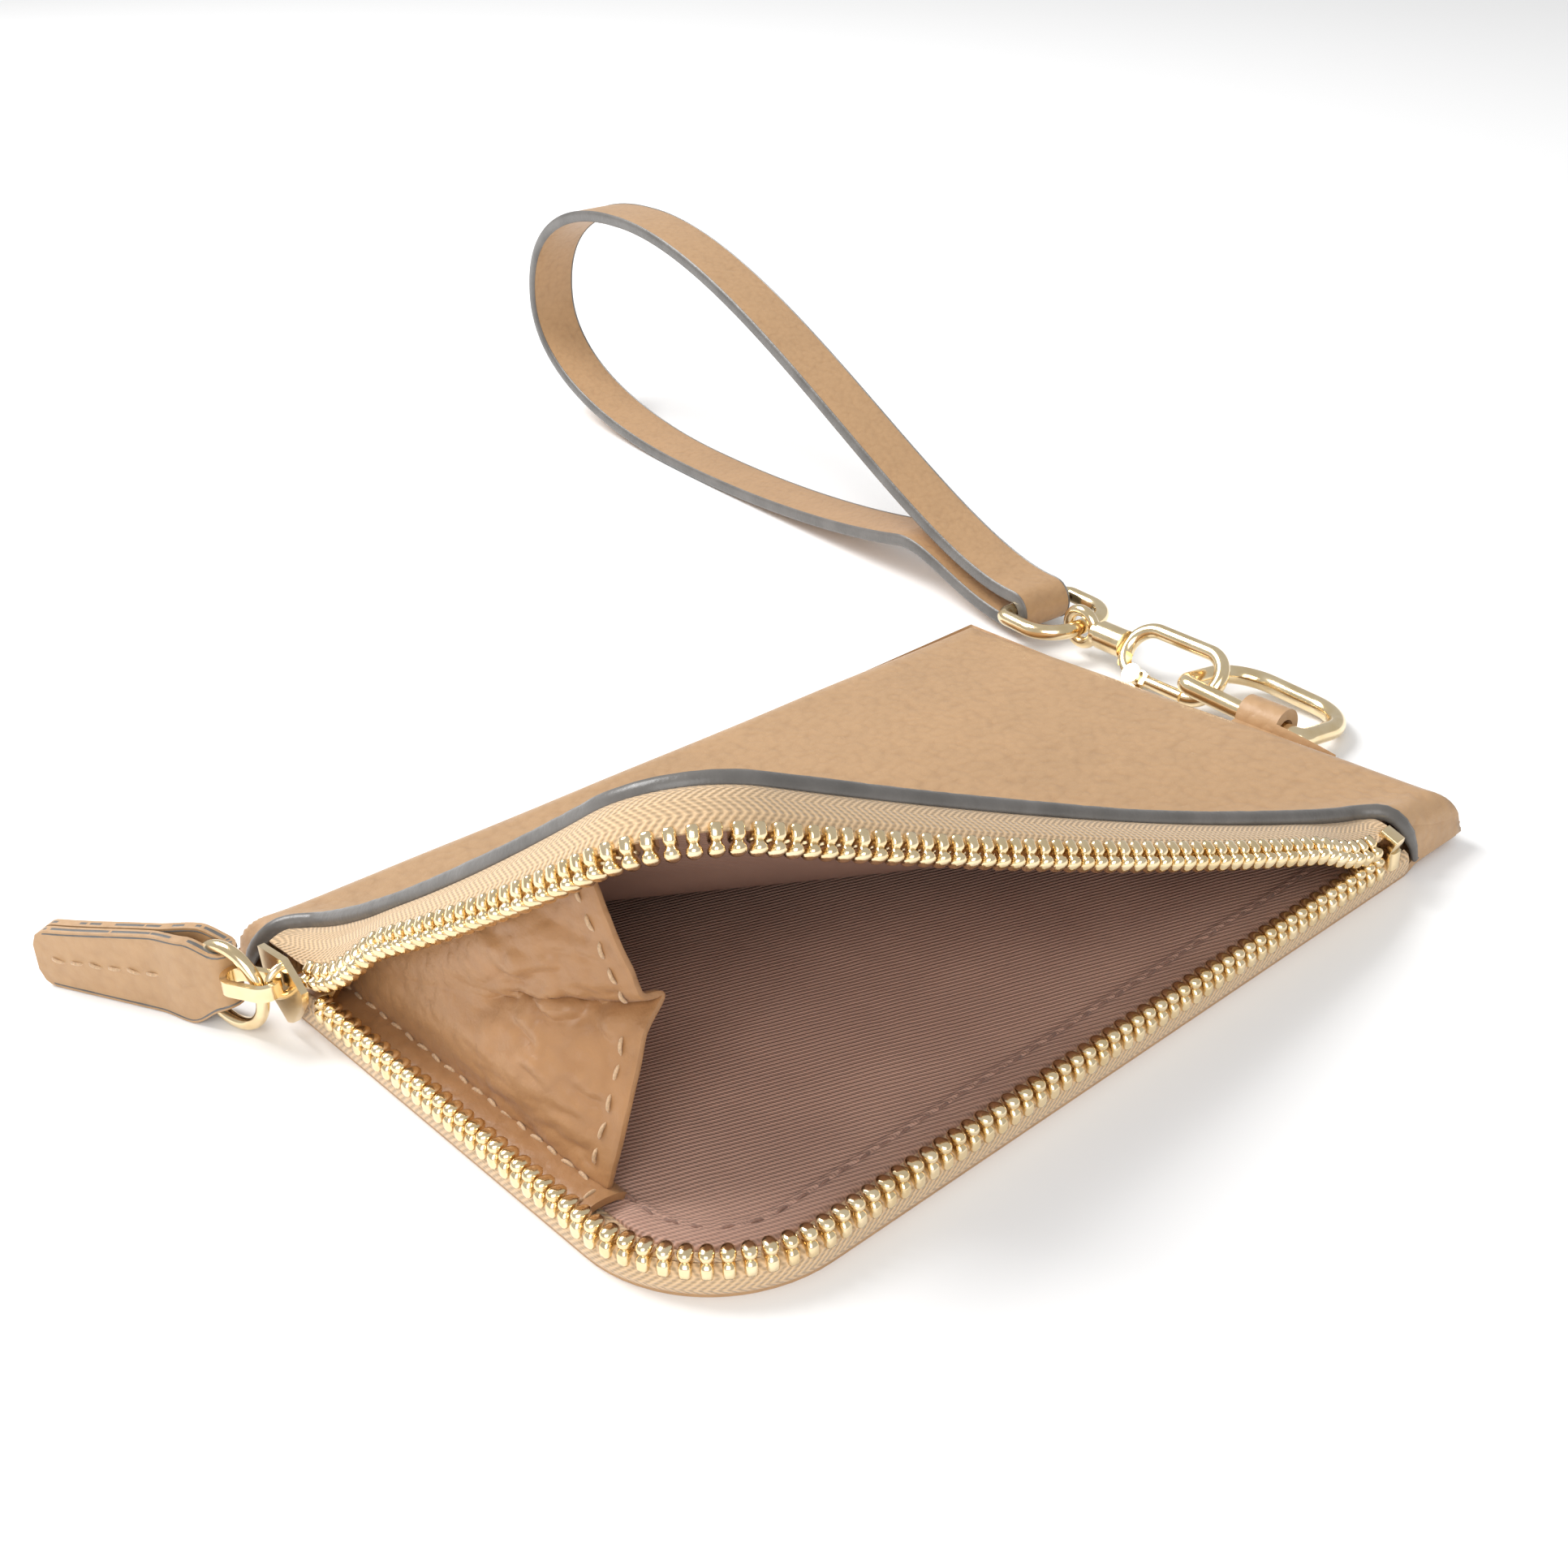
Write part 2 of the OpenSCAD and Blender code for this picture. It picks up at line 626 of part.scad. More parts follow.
// Its post turns in the hook's end, and its eye holds the D-ring
module swivel_eye() color(metal_c) hook_frame_at() rotate([hook_tilt, 0, 0]) {
  translate([hook_l / 2 + neck_l - 2, 0, 0]) rotate([0, 90, 0]) cylinder(h = post_l, r = post_r, $fn = 40);
  translate([hook_l / 2 + neck_l - 0.4, 0, 0]) rotate([0, 90, 0]) cylinder(h = 1, r = 1.8, $fn = 40);
  translate([hook_l / 2 + neck_l + 0.5 + eye_r, 0, 0]) rotate([90, 0, 0]) rotate_extrude() translate([eye_r - eye_wire_r / 2, 0]) circle(eye_wire_r, $fn = 28);
}

module dring_frame() {
  translate([bar_x, bar_y, bar_z]) rotate([0, 0, -strap_yaw]) children();
}

module d_ring() color(metal_c) dring_frame() translate([0, -dring_d / 2 + dring_wire_r, 0]) rotate([0, 0, -90])
  wire_loop(dring_d, dring_w, 3, 6.5, dring_wire_r);

// ---- wrist strap ----

function bez(a, b, c, d, t) = a * pow(1 - t, 3) + 3 * b * t * pow(1 - t, 2) + 3 * c * t * t * (1 - t) + d * pow(t, 3);
function run(a, b, c, d, steps) = [for (i = [0 : steps - 1]) bez(a, b, c, d, i / steps)];

// Strap centreline in its upright plane: over the bar, up, round, along the floor and back under the bar
strap_low = strap_t / 2 + 0.1;
top_pt = [strap_reach * 0.76, strap_rise - strap_t / 2];
end_pt = [strap_reach - strap_t / 2, strap_rise * 0.48];
floor_pt = [strap_reach * 0.64, strap_low];
neck_pt = [strap_reach * 0.19, 8];
bar_top = [0, bar_z + strap_fold_r];
bar_foot = [0, bar_z - strap_fold_r];
strap_line = concat(
  run(bar_top, [strap_reach * 0.175, bar_z + 1.6], [strap_reach * 0.48, strap_rise + 1], top_pt, curve_steps * 2),
  run(top_pt, [strap_reach * 0.9, strap_rise - 1.6], [strap_reach - strap_t / 2, strap_rise * 0.78], end_pt, curve_steps),
  run(end_pt, [strap_reach - strap_t / 2, strap_rise * 0.16], [strap_reach * 0.82, strap_low], floor_pt, curve_steps),
  run(floor_pt, [strap_reach * 0.44, strap_low], [strap_reach * 0.28, 4.6], neck_pt, curve_steps),
  run(neck_pt, [strap_reach * 0.14, 9.6], [strap_reach * 0.09, bar_foot[1]], bar_foot, curve_steps),
  [for (i = [0 : 9]) [-strap_fold_r * sin(i * 18), bar_z - strap_fold_r * cos(i * 18)]]
);
strap_n = len(strap_line);
function strap_side(i, d) =
  let(
    p = strap_line[(i + strap_n - 1) % strap_n], q = strap_line[(i + 1) % strap_n],
    v = q - p, m = norm(v)
  )
  strap_line[i] + [-v[1], v[0]] * d / m;

module strap_profile(t) {
  difference() {
    polygon([for (i = [0 : strap_n - 1]) strap_side(i, t / 2)]);
    polygon([for (i = [0 : strap_n - 1]) strap_side(i, -t / 2)]);
  }
}

module strap_frame() {
  translate([bar_x, bar_y, 0]) rotate([0, 0, -strap_yaw]) rotate([90, 0, 90]) children();
}

module wrist_strap() color(leather_c) strap_frame() translate([0, 0, -strap_w / 2 + 0.4]) linear_extrude(strap_w - 0.8) strap_profile(strap_t);

// Painted cut edges on both sides of the strap
module strap_edges() color(paint_c) strap_frame() for (z = [-strap_w / 2, strap_w / 2 - 0.4])
  translate([0, 0, z]) linear_extrude(0.4) strap_profile(strap_t - 0.2);

// ---- all nodes ----

centred() back_panel();
centred() front_panel();
centred() side_wrap();
centred() back_lining();
centred() front_lining();
centred() side_facing();
centred() facing_stitches();
centred() lining_stitches();
centred() lower_tape();
centred() lower_teeth();
centred() lower_stop();
centred() gusset();
centred() front_flap();
centred() flap_edge();
centred() flap_lining();
centred() upper_tape();
centred() upper_teeth();
centred() upper_stop();
centred() slider_body();
centred() slider_bail();
centred() pull_link();
centred() pull_ring();
centred() pull_tab();
centred() pull_tab_stitches();
centred() ring_tab();
centred() ring_tab_stitches();
centred() key_ring();
centred() hook_frame();
centred() gate_pin();
centred() hook_gate();
centred() swivel_eye();
centred() d_ring();
centred() wrist_strap();
centred() strap_edges();
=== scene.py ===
import json
import math

import bpy
from mathutils import Matrix, Vector, noise


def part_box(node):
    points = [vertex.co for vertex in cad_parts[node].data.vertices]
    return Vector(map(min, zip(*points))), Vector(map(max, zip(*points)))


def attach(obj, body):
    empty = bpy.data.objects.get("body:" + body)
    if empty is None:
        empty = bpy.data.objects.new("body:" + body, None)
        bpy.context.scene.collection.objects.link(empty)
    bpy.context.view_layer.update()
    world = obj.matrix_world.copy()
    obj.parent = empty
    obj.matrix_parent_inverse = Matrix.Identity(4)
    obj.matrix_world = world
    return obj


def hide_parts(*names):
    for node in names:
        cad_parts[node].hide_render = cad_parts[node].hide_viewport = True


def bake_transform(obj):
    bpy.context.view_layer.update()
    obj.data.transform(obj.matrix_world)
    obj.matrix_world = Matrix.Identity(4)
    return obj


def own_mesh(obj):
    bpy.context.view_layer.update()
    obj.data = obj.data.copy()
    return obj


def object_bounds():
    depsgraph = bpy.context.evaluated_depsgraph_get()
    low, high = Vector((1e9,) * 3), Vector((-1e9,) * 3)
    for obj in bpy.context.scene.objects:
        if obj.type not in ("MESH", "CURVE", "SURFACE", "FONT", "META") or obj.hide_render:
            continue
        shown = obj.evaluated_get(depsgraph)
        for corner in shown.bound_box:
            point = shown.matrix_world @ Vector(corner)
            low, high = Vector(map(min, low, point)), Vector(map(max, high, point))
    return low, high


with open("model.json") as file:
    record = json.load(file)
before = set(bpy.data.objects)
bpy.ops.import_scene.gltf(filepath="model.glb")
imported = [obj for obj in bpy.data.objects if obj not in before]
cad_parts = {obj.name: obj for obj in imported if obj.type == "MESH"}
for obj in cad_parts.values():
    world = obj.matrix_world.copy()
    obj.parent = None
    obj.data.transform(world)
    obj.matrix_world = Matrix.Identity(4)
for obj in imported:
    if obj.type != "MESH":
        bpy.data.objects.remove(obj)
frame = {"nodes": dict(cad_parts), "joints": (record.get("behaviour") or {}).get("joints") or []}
CAD_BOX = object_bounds()

# ---- sizes, in millimetres from the pouch's corner, worked out from the frame ----

MM = 0.001
CORNER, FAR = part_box("back_panel")
LENGTH = (FAR.x - CORNER.x) / MM
WIDTH = (FAR.y - CORNER.y) / MM
ROUND = 18.0  # radius of the zipped corner
FOLD_Z = 8.2  # height of the front panel where it starts to rise
REAR_SLOPE = 0.056
RISE = 0.405  # steepness of the raised front panel
RISE_POWER = 0.15
LEATHER = 1.3
CUT_INSET = 6.3  # how far the front leather's cut edge lies inside the outline
ROLL = 4.5  # width of the rounded edge along the closed sides
ZIP_FROM = 82.0
ZIP_TO = 121.0
ROW_START = 70.0
ROW_END = 115.0
PITCH = 2.1
ZIP_C = 0.5
TOOTH_H = 2.6
LOWER_FOOT = 3.6
DIAG = math.hypot(LENGTH, WIDTH)
TO_CORNER = Vector((-WIDTH / DIAG, -LENGTH / DIAG))
MIDDLE = Vector((LENGTH / 2, WIDTH / 2))


def at(p):
    """A point of the pouch's own frame, in millimetres, as a place in the row frame."""
    return Vector((CORNER.x + p[0] * MM, CORNER.y + p[1] * MM, CORNER.z + p[2] * MM))


def smooth(t):
    t = min(1.0, max(0.0, t))
    return t * t * (3 - 2 * t)


def mix(a, b, t):
    return a + (b - a) * t


# ---- the bent front panel ----

BEND_STEP = 0.5
BEND_FROM = -80.0


def slope_at(d):
    steep = RISE * max(d, 0.3) ** RISE_POWER
    return mix(REAR_SLOPE, steep, smooth((d + 5) / 12))


def bend_table():
    """Reach along the floor and height, for each distance from the fold."""
    reach, height = [0.0], [0.0]
    d = BEND_FROM
    while d < 90:
        s = min(0.95, slope_at(d + BEND_STEP / 2))
        reach.append(reach[-1] + BEND_STEP * math.sqrt(1 - s * s))
        height.append(height[-1] + BEND_STEP * s)
        d += BEND_STEP
    zero = int(-BEND_FROM / BEND_STEP)
    return [r - reach[zero] for r in reach], [h - height[zero] for h in height]


REACH, HEIGHT = bend_table()


def look_up(table, d):
    k = (d - BEND_FROM) / BEND_STEP
    i = min(max(int(k), 0), len(table) - 2)
    return mix(table[i], table[i + 1], k - i)


def bent(x, y, lift=0.0):
    """Where a point of the flat front panel is when the mouth is open, and the panel's normal there."""
    rel = Vector((x, y)) - MIDDLE
    d = rel.dot(TO_CORNER)
    flat = Vector((x, y)) - TO_CORNER * d
    s = min(0.95, slope_at(d))
    xy = flat + TO_CORNER * look_up(REACH, d)
    normal = Vector((-TO_CORNER.x * s, -TO_CORNER.y * s, math.sqrt(1 - s * s)))
    p = Vector((xy.x, xy.y, FOLD_Z + look_up(HEIGHT, d))) + normal * lift
    return p, normal


def edge_fall(x, y):
    """1 on the closed outline, 0 inside the rounded edge."""
    fall = 0.0
    for gap in (x, y, LENGTH - x, WIDTH - y):
        t = min(1.0, max(0.0, gap / ROLL))
        fall = max(fall, 1 - math.sqrt(max(0.0, 1 - (1 - t) ** 2)))
    return fall


def front_skin(x, y, lift=0.0):
    p, n = bent(x, y, lift)
    fall = edge_fall(x, y)
    soft = 0.35 * noise.noise(Vector((x * 0.035, y * 0.035, 2.0)))
    p.z = mix(p.z + soft, 2.3 + lift * 0.4, fall)
    return p


def cut_x(y):
    return CUT_INSET * (1 - smooth((y - ZIP_FROM + 3) / 8))


def cut_y(x):
    return CUT_INSET * (1 - smooth((x - ZIP_TO + 5) / 7))


def rounded(x, y, inset):
    """Turns the square corner of a grid into the round zipped corner."""
    r = ROUND - inset
    if x >= ROUND or y >= ROUND:
        return x, y
    u, v = (ROUND - x) / r, (ROUND - y) / r
    return ROUND - r * u * math.sqrt(1 - v * v / 2), ROUND - r * v * math.sqrt(1 - u * u / 2)


def spread(lo, hi, step, fine=0.5, band=6.0):
    """Places from lo to hi, closer together near both ends."""
    out, x = [], lo
    while x < hi - 1e-6:
        out.append(x)
        near = min(x - lo, hi - x)
        x += fine if near < band else step
    if out and hi - out[-1] < fine * 0.5:
        out.pop()
    return out + [hi]


# ---- meshes ----


def make(name, verts, faces, material, uvs=None, smooth_angle=50):
    mesh = bpy.data.meshes.new(name)
    mesh.from_pydata([at(v) for v in verts], [], faces)
    mesh.materials.append(material)
    mesh.update()
    if uvs:
        layer = mesh.uv_layers.new(name="UVMap")
        for loop in mesh.loops:
            layer.data[loop.index].uv = uvs[loop.vertex_index]
    mesh.shade_smooth()
    obj = bpy.data.objects.new(name, mesh)
    bpy.context.collection.objects.link(obj)
    if smooth_angle:
        mesh.set_sharp_from_angle(angle=math.radians(smooth_angle))
    return obj


def grid_normals(pts):
    n, m = len(pts), len(pts[0])
    out = []
    for i in range(n):
        row = []
        for j in range(m):
            a = pts[min(i + 1, n - 1)][j] - pts[max(i - 1, 0)][j]
            b = pts[i][min(j + 1, m - 1)] - pts[i][max(j - 1, 0)]
            c = a.cross(b)
            if c.length < 1e-9:
                c = Vector((0, 0, 1))
            row.append(c.normalized())
        out.append(row)
    return out


def skin_pair(name, top, bottom, material, uvs=None, **kw):
    """A closed sheet from two grids of points, one above the other."""
    n, m = len(top), len(top[0])
    verts = [p for row in top for p in row] + [p for row in bottom for p in row]
    base = n * m
    faces = []
    for i in range(n - 1):
        for j in range(m - 1):
            a, b, c, d = i * m + j, (i + 1) * m + j, (i + 1) * m + j + 1, i * m + j + 1
            faces.append((a, b, c, d))
            faces.append((base + d, base + c, base + b, base + a))
    rim = [i * m for i in range(n)] + [(n - 1) * m + j for j in range(1, m)]
    rim += [i * m + m - 1 for i in range(n - 2, -1, -1)] + [j for j in range(m - 2, 0, -1)]
    for k, a in enumerate(rim):
        b = rim[(k + 1) % len(rim)]
        faces.append((b, a, base + a, base + b))
    if uvs:
        flat = [uv for row in uvs for uv in row]
        uvs = flat + flat
    return make(name, verts, faces, material, uvs, **kw)


def thick(name, pts, t, material, uvs=None, **kw):
    """A closed sheet of thickness t round a grid of points."""
    normals = grid_normals(pts)
    top = [[p + n * t / 2 for p, n in zip(a, b)] for a, b in zip(pts, normals)]
    bottom = [[p - n * t / 2 for p, n in zip(a, b)] for a, b in zip(pts, normals)]
    return skin_pair(name, top, bottom, material, uvs, **kw)


def sweep(name, rings, material, closed=False, uvs=None, **kw):
    """A tube through rings of points; closed joins the last ring to the first."""
    m = len(rings[0])
    verts = [p for ring in rings for p in ring]
    faces = []
    last = len(rings) if closed else len(rings) - 1
    for i in range(last):
        a, b = i * m, ((i + 1) % len(rings)) * m
        for k in range(m):
            j = (k + 1) % m
            faces.append((a + k, a + j, b + j, b + k))
    if not closed:
        faces.append(tuple(range(m - 1, -1, -1)))
        faces.append(tuple(range((len(rings) - 1) * m, len(rings) * m)))
    return make(name, verts, faces, material, uvs, **kw)


def blob(verts, faces, place, rings, sides=12):
    """Adds one turned shape. Each ring is (height, half size across, half size along, squareness)."""
    start = len(verts)
    for z, rx, ry, power in rings:
        for k in range(sides):
            a = 2 * math.pi * (k + 0.5) / sides
            c, s = math.cos(a), math.sin(a)
            x = rx * math.copysign(abs(c) ** (2 / power), c)
            y = ry * math.copysign(abs(s) ** (2 / power), s)
            verts.append(place @ Vector((x, y, z)))
    for i in range(len(rings) - 1):
        for k in range(sides):
            j = (k + 1) % sides
            a, b = start + i * sides, start + (i + 1) * sides
            faces.append((a + k, a + j, b + j, b + k))
    faces.append(tuple(start + k for k in range(sides - 1, -1, -1)))
    end = start + (len(rings) - 1) * sides
    faces.append(tuple(end + k for k in range(sides)))


def facing_matrix(origin, along, up):
    """Local Y runs along, local Z up."""
    z = up.normalized()
    y = (along - z * along.dot(z)).normalized()
    x = y.cross(z)
    return Matrix.Translation(origin) @ Matrix((x, y, z)).transposed().to_4x4()


def stitches(name, places, length, radius, material):
    """Short arched threads. Each place is (point, direction, outward)."""
    verts, faces = [], []
    for k, (p, along, out) in enumerate(places):
        m = facing_matrix(p, out, along)
        lean = 0.12 * (1 if k % 2 else -1)
        rings = []
        for i in range(7):
            t = i / 6 * 2 - 1
            r = radius * math.sqrt(max(0.04, 1 - abs(t) ** 5))
            rings.append((t * length / 2, r * 0.95, r, 2.0))
        start = len(verts)
        blob(verts, faces, m, rings, 8)
        for i in range(start, len(verts)):
            t = ((verts[i] - p).dot(along.normalized())) / (length / 2)
            verts[i] = verts[i] + out.normalized() * radius * (0.7 - 1.1 * t * t)
            verts[i] = verts[i] + along.cross(out).normalized() * lean * t
    return make(name, verts, faces, material, smooth_angle=None)


# ---- materials ----


def shader(name, rough, metal=0.0, coat=0.0, sheen=0.0):
    mat = bpy.data.materials.new(name)
    mat.use_nodes = True
    tree = mat.node_tree
    bsdf = tree.nodes["Principled BSDF"]
    bsdf.inputs["Metallic"].default_value = metal
    bsdf.inputs["Roughness"].default_value = rough
    bsdf.inputs["Coat Weight"].default_value = coat
    bsdf.inputs["Coat Roughness"].default_value = 0.25
    bsdf.inputs["Sheen Weight"].default_value = sheen
    bsdf.inputs["Sheen Roughness"].default_value = 0.5
    return mat, tree, bsdf


class Nodes:
    """Short calls that add and join shader nodes."""

    def __init__(self, tree):
        self.tree = tree

    def add(self, kind, **settings):
        node = self.tree.nodes.new(kind)
        for key, value in settings.items():
            setattr(node, key, value)
        return node

    def join(self, a, b):
        self.tree.links.new(a, b)

    def coords(self, which):
        return self.add("ShaderNodeTexCoord").outputs[which]

    def noise(self, where, scale, detail=3.0, rough=0.55):
        node = self.add("ShaderNodeTexNoise")
        node.inputs["Scale"].default_value = scale
        node.inputs["Detail"].default_value = detail
        node.inputs["Roughness"].default_value = rough
        self.join(where, node.inputs["Vector"])
        return node.outputs["Fac"]

    def cells(self, where, scale, feature="F1"):
        node = self.add("ShaderNodeTexVoronoi", feature=feature)
        node.inputs["Scale"].default_value = scale
        self.join(where, node.inputs["Vector"])
        return node.outputs["Distance"]

    def math(self, operation, a, b=None, c=None):
        node = self.add("ShaderNodeMath", operation=operation)
        for socket, value in zip(node.inputs, (a, b, c)):
            if value is None:
                continue
            if isinstance(value, (int, float)):
                socket.default_value = value
            else:
                self.join(value, socket)
        return node.outputs[0]

    def ramp(self, fac, stops):
        node = self.add("ShaderNodeValToRGB")
        points = node.color_ramp.elements
        while len(points) < len(stops):
            points.new(0.5)
        for e, (where, colour) in zip(points, stops):
            e.position = where
            e.color = (*colour, 1)
        self.join(fac, node.inputs["Fac"])
        return node.outputs["Color"]

    def fade(self, fac, a, b, blend="MIX"):
        node = self.add("ShaderNodeMix", data_type="RGBA", blend_type=blend)
        slots = [s for s in node.inputs if s.enabled]
        for socket, value in zip(slots, (fac, a, b)):
            if isinstance(value, (int, float)):
                socket.default_value = value
            elif isinstance(value, tuple):
                socket.default_value = (*value, 1)
            else:
                self.join(value, socket)
        return [s for s in node.outputs if s.enabled][0]

    def bump(self, height, distance, strength, normal=None):
        node = self.add("ShaderNodeBump")
        node.inputs["Distance"].default_value = distance
        node.inputs["Strength"].default_value = strength
        self.join(height, node.inputs["Height"])
        if normal is not None:
            self.join(normal, node.inputs["Normal"])
        return node.outputs["Normal"]


def darker(colour, by):
    return tuple(c * by for c in colour)


def leather(name, colour, grain=820.0, depth=0.00022, rough=0.46):
    mat, tree, bsdf = shader(name, rough, coat=0.06, sheen=0.08)
    n = Nodes(tree)
    where = n.coords("Object")
    wobble = n.noise(where, grain * 0.9, 2)
    warped = n.add("ShaderNodeVectorMath", operation="ADD")
    n.join(where, warped.inputs[0])
    shift = n.add("ShaderNodeVectorMath", operation="SCALE")
    n.join(wobble, shift.inputs[0])
    shift.inputs["Scale"].default_value = 0.0009
    n.join(shift.outputs[0], warped.inputs[1])
    pebble = n.cells(warped.outputs[0], grain, "SMOOTH_F1")
    fine = n.noise(where, grain * 3.2, 3)
    creases = n.math("POWER", pebble, 2.2)
    height = n.math("MULTIPLY_ADD", creases, -1.0, n.math("MULTIPLY", fine, 0.22))
    broad = n.noise(where, 45.0, 3)
    mid = n.noise(where, 260.0, 3)
    tone = n.math("MULTIPLY_ADD", broad, 0.6, n.math("MULTIPLY", mid, 0.4))
    base = n.ramp(tone, [(0.3, darker(colour, 0.9)), (0.55, colour), (0.75, darker(colour, 1.07))])
    # Painted shade: the base colour is darkened in the creases of the grain
    crease_shade = n.ramp(creases, [(0.0, (1, 1, 1)), (0.55, (0.8, 0.75, 0.7))])
    n.join(n.fade(0.55, base, crease_shade, "MULTIPLY"), bsdf.inputs["Base Color"])
    n.join(n.math("MULTIPLY_ADD", fine, 0.16, rough - 0.06), bsdf.inputs["Roughness"])
    wave = n.bump(broad, 0.0009, 0.25)
    n.join(n.bump(height, depth, 0.75, wave), bsdf.inputs["Normal"])
    return mat


def gold(name):
    mat, tree, bsdf = shader(name, 0.16, metal=1.0)
    n = Nodes(tree)
    where = n.coords("Object")
    broad = n.noise(where, 220.0, 3)
    fine = n.noise(where, 5200.0, 2)
    n.join(n.ramp(broad, [(0.3, (0.83, 0.64, 0.36)), (0.7, (0.95, 0.79, 0.53))]), bsdf.inputs["Base Color"])
    n.join(n.math("MULTIPLY_ADD", broad, 0.14, 0.1), bsdf.inputs["Roughness"])
    n.join(n.bump(fine, 0.00002, 0.25), bsdf.inputs["Normal"])
    return mat


def paint(name):
    mat, tree, bsdf = shader(name, 0.36, coat=0.15)
    n = Nodes(tree)
    where = n.coords("Object")
    broad = n.noise(where, 160.0, 3)
    fine = n.noise(where, 1500.0, 4)
    n.join(n.ramp(broad, [(0.3, (0.095, 0.088, 0.08)), (0.7, (0.15, 0.14, 0.13))]), bsdf.inputs["Base Color"])
    n.join(n.math("MULTIPLY_ADD", fine, 0.25, 0.25), bsdf.inputs["Roughness"])
    n.join(n.bump(fine, 0.0001, 0.6), bsdf.inputs["Normal"])
    return mat


def herringbone(name, colour):
    """Woven zip tape. U runs along the tape and V across it, in millimetres."""
    mat, tree, bsdf = shader(name, 0.8, sheen=0.25)
    n = Nodes(tree)
    split = n.add("ShaderNodeSeparateXYZ")
    n.join(n.coords("UV"), split.inputs[0])
    u, v = split.outputs["X"], split.outputs["Y"]
    zig = n.math("PINGPONG", v, 1.7)
    phase = n.math("MULTIPLY_ADD", zig, 7.5, n.math("MULTIPLY", u, 6.6))
    rib = n.math("MULTIPLY_ADD", n.math("SINE", phase), 0.5, 0.5)
    threads = n.math("MULTIPLY_ADD", n.math("SINE", n.math("MULTIPLY", v, 16.0)), 0.5, 0.5)
    height = n.math("MULTIPLY_ADD", rib, 0.75, n.math("MULTIPLY", threads, 0.25))
    fuzz = n.noise(n.coords("Object"), 4000.0, 2)
    shade = n.ramp(height, [(0.05, darker(colour, 0.62)), (0.5, colour), (1.0, darker(colour, 1.15))])
    n.join(n.fade(0.2, shade, fuzz, "MULTIPLY"), bsdf.inputs["Base Color"])
    n.join(n.bump(height, 0.00022, 0.8, n.bump(fuzz, 0.00004, 0.4)), bsdf.inputs["Normal"])
    return mat


def twill(name, colour, pitch=0.62):
    mat, tree, bsdf = shader(name, 0.62, sheen=0.08)
    n = Nodes(tree)
    where = n.coords("Object")
    split = n.add("ShaderNodeSeparateXYZ")
    n.join(where, split.inputs[0])
    x, y = split.outputs["X"], split.outputs["Y"]
    turn = 2 * math.pi / (pitch * MM)
    across = n.math("MULTIPLY_ADD", x, 0.35, n.math("MULTIPLY", y, 0.94))
    jitter = n.noise(where, 900.0, 2)
    phase = n.math("MULTIPLY_ADD", across, turn, n.math("MULTIPLY", jitter, 1.6))
    rib = n.math("MULTIPLY_ADD", n.math("SINE", phase), 0.5, 0.5)
    along = n.math("MULTIPLY_ADD", x, 0.94, n.math("MULTIPLY", y, -0.35))
    beads = n.math("MULTIPLY_ADD", n.math("SINE", n.math("MULTIPLY_ADD", along, turn * 1.3, phase)), 0.5, 0.5)
    height = n.math("MULTIPLY_ADD", rib, 0.7, n.math("MULTIPLY", beads, 0.3))
    broad = n.noise(where, 60.0, 3)
    shade = n.ramp(height, [(0.0, darker(colour, 0.6)), (0.55, colour), (1.0, darker(colour, 1.25))])
    tint = n.ramp(broad, [(0.3, (0.86, 0.84, 0.84)), (0.7, (1, 1, 1))])
    n.join(n.fade(1.0, shade, tint, "MULTIPLY"), bsdf.inputs["Base Color"])
    n.join(n.bump(height, 0.0002, 0.7), bsdf.inputs["Normal"])
    return mat


def thread(name, colour):
    mat, tree, bsdf = shader(name, 0.55, sheen=0.3)
    n = Nodes(tree)
    where = n.coords("Object")
    twist = n.noise(where, 3500.0, 2)
    n.join(n.ramp(twist, [(0.3, darker(colour, 0.75)), (0.7, darker(colour, 1.15))]), bsdf.inputs["Base Color"])
    n.join(n.bump(twist, 0.0001, 0.7), bsdf.inputs["Normal"])
    return mat


TAN = leather("tan_leather", (0.47, 0.285, 0.142))
STRAP_TAN = leather("strap_leather", (0.45, 0.27, 0.132), grain=1150.0, depth=0.00012)
INNER = leather("inner_leather", (0.4, 0.205, 0.085), grain=640.0, depth=0.00034, rough=0.42)
LINING = twill("lining_twill", (0.5, 0.3, 0.225))
INNER_CLOTH = twill("front_lining_cloth", (0.36, 0.19, 0.125), pitch=0.4)
TAPE = herringbone("zip_tape", (0.72, 0.5, 0.29))
GOLD = gold("pale_gold")
PAINT = paint("edge_paint")
THREAD = thread("tan_thread", (0.56, 0.37, 0.21))
LINING_THREAD = thread("lining_thread", (0.26, 0.14, 0.1))

# ---- joining to the bodies ----


def bends(obj, slot, *nodes):
    """The piece crosses from the fixed half of the front panel to the part that lifts; this only hides the
    nodes it stands for and bakes its place into its mesh.
    """
    if nodes:
        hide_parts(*nodes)
    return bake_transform(obj)


def rides(obj, body, slot, *nodes):
    if nodes:
        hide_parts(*nodes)
    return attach(obj, body)


# ---- front leather ----


def front_grid(lift, inset=0.0, step=1.6):
    """Rows of points over the front panel, from its cut edge to the closed sides."""
    us = spread(0, LENGTH, step)
    vs = spread(0, WIDTH, step)
    rows = []
    for u in us:
        row = []
        for v in vs:
            x, y = u, v
            for _ in range(2):
                low_x = cut_x(y) + inset
                low_y = cut_y(x) + inset
                x = low_x + (LENGTH - inset - low_x) * u / LENGTH
                y = low_y + (WIDTH - inset - low_y) * v / WIDTH
            x, y = rounded(x, y, CUT_INSET + inset)
            row.append(front_skin(x, y, lift))
        rows.append(row)
    return rows


front = skin_pair("front_leather", front_grid(0.0), front_grid(-LEATHER), TAN)
bends(front, "leather", "front_panel", "front_flap", "side_wrap")

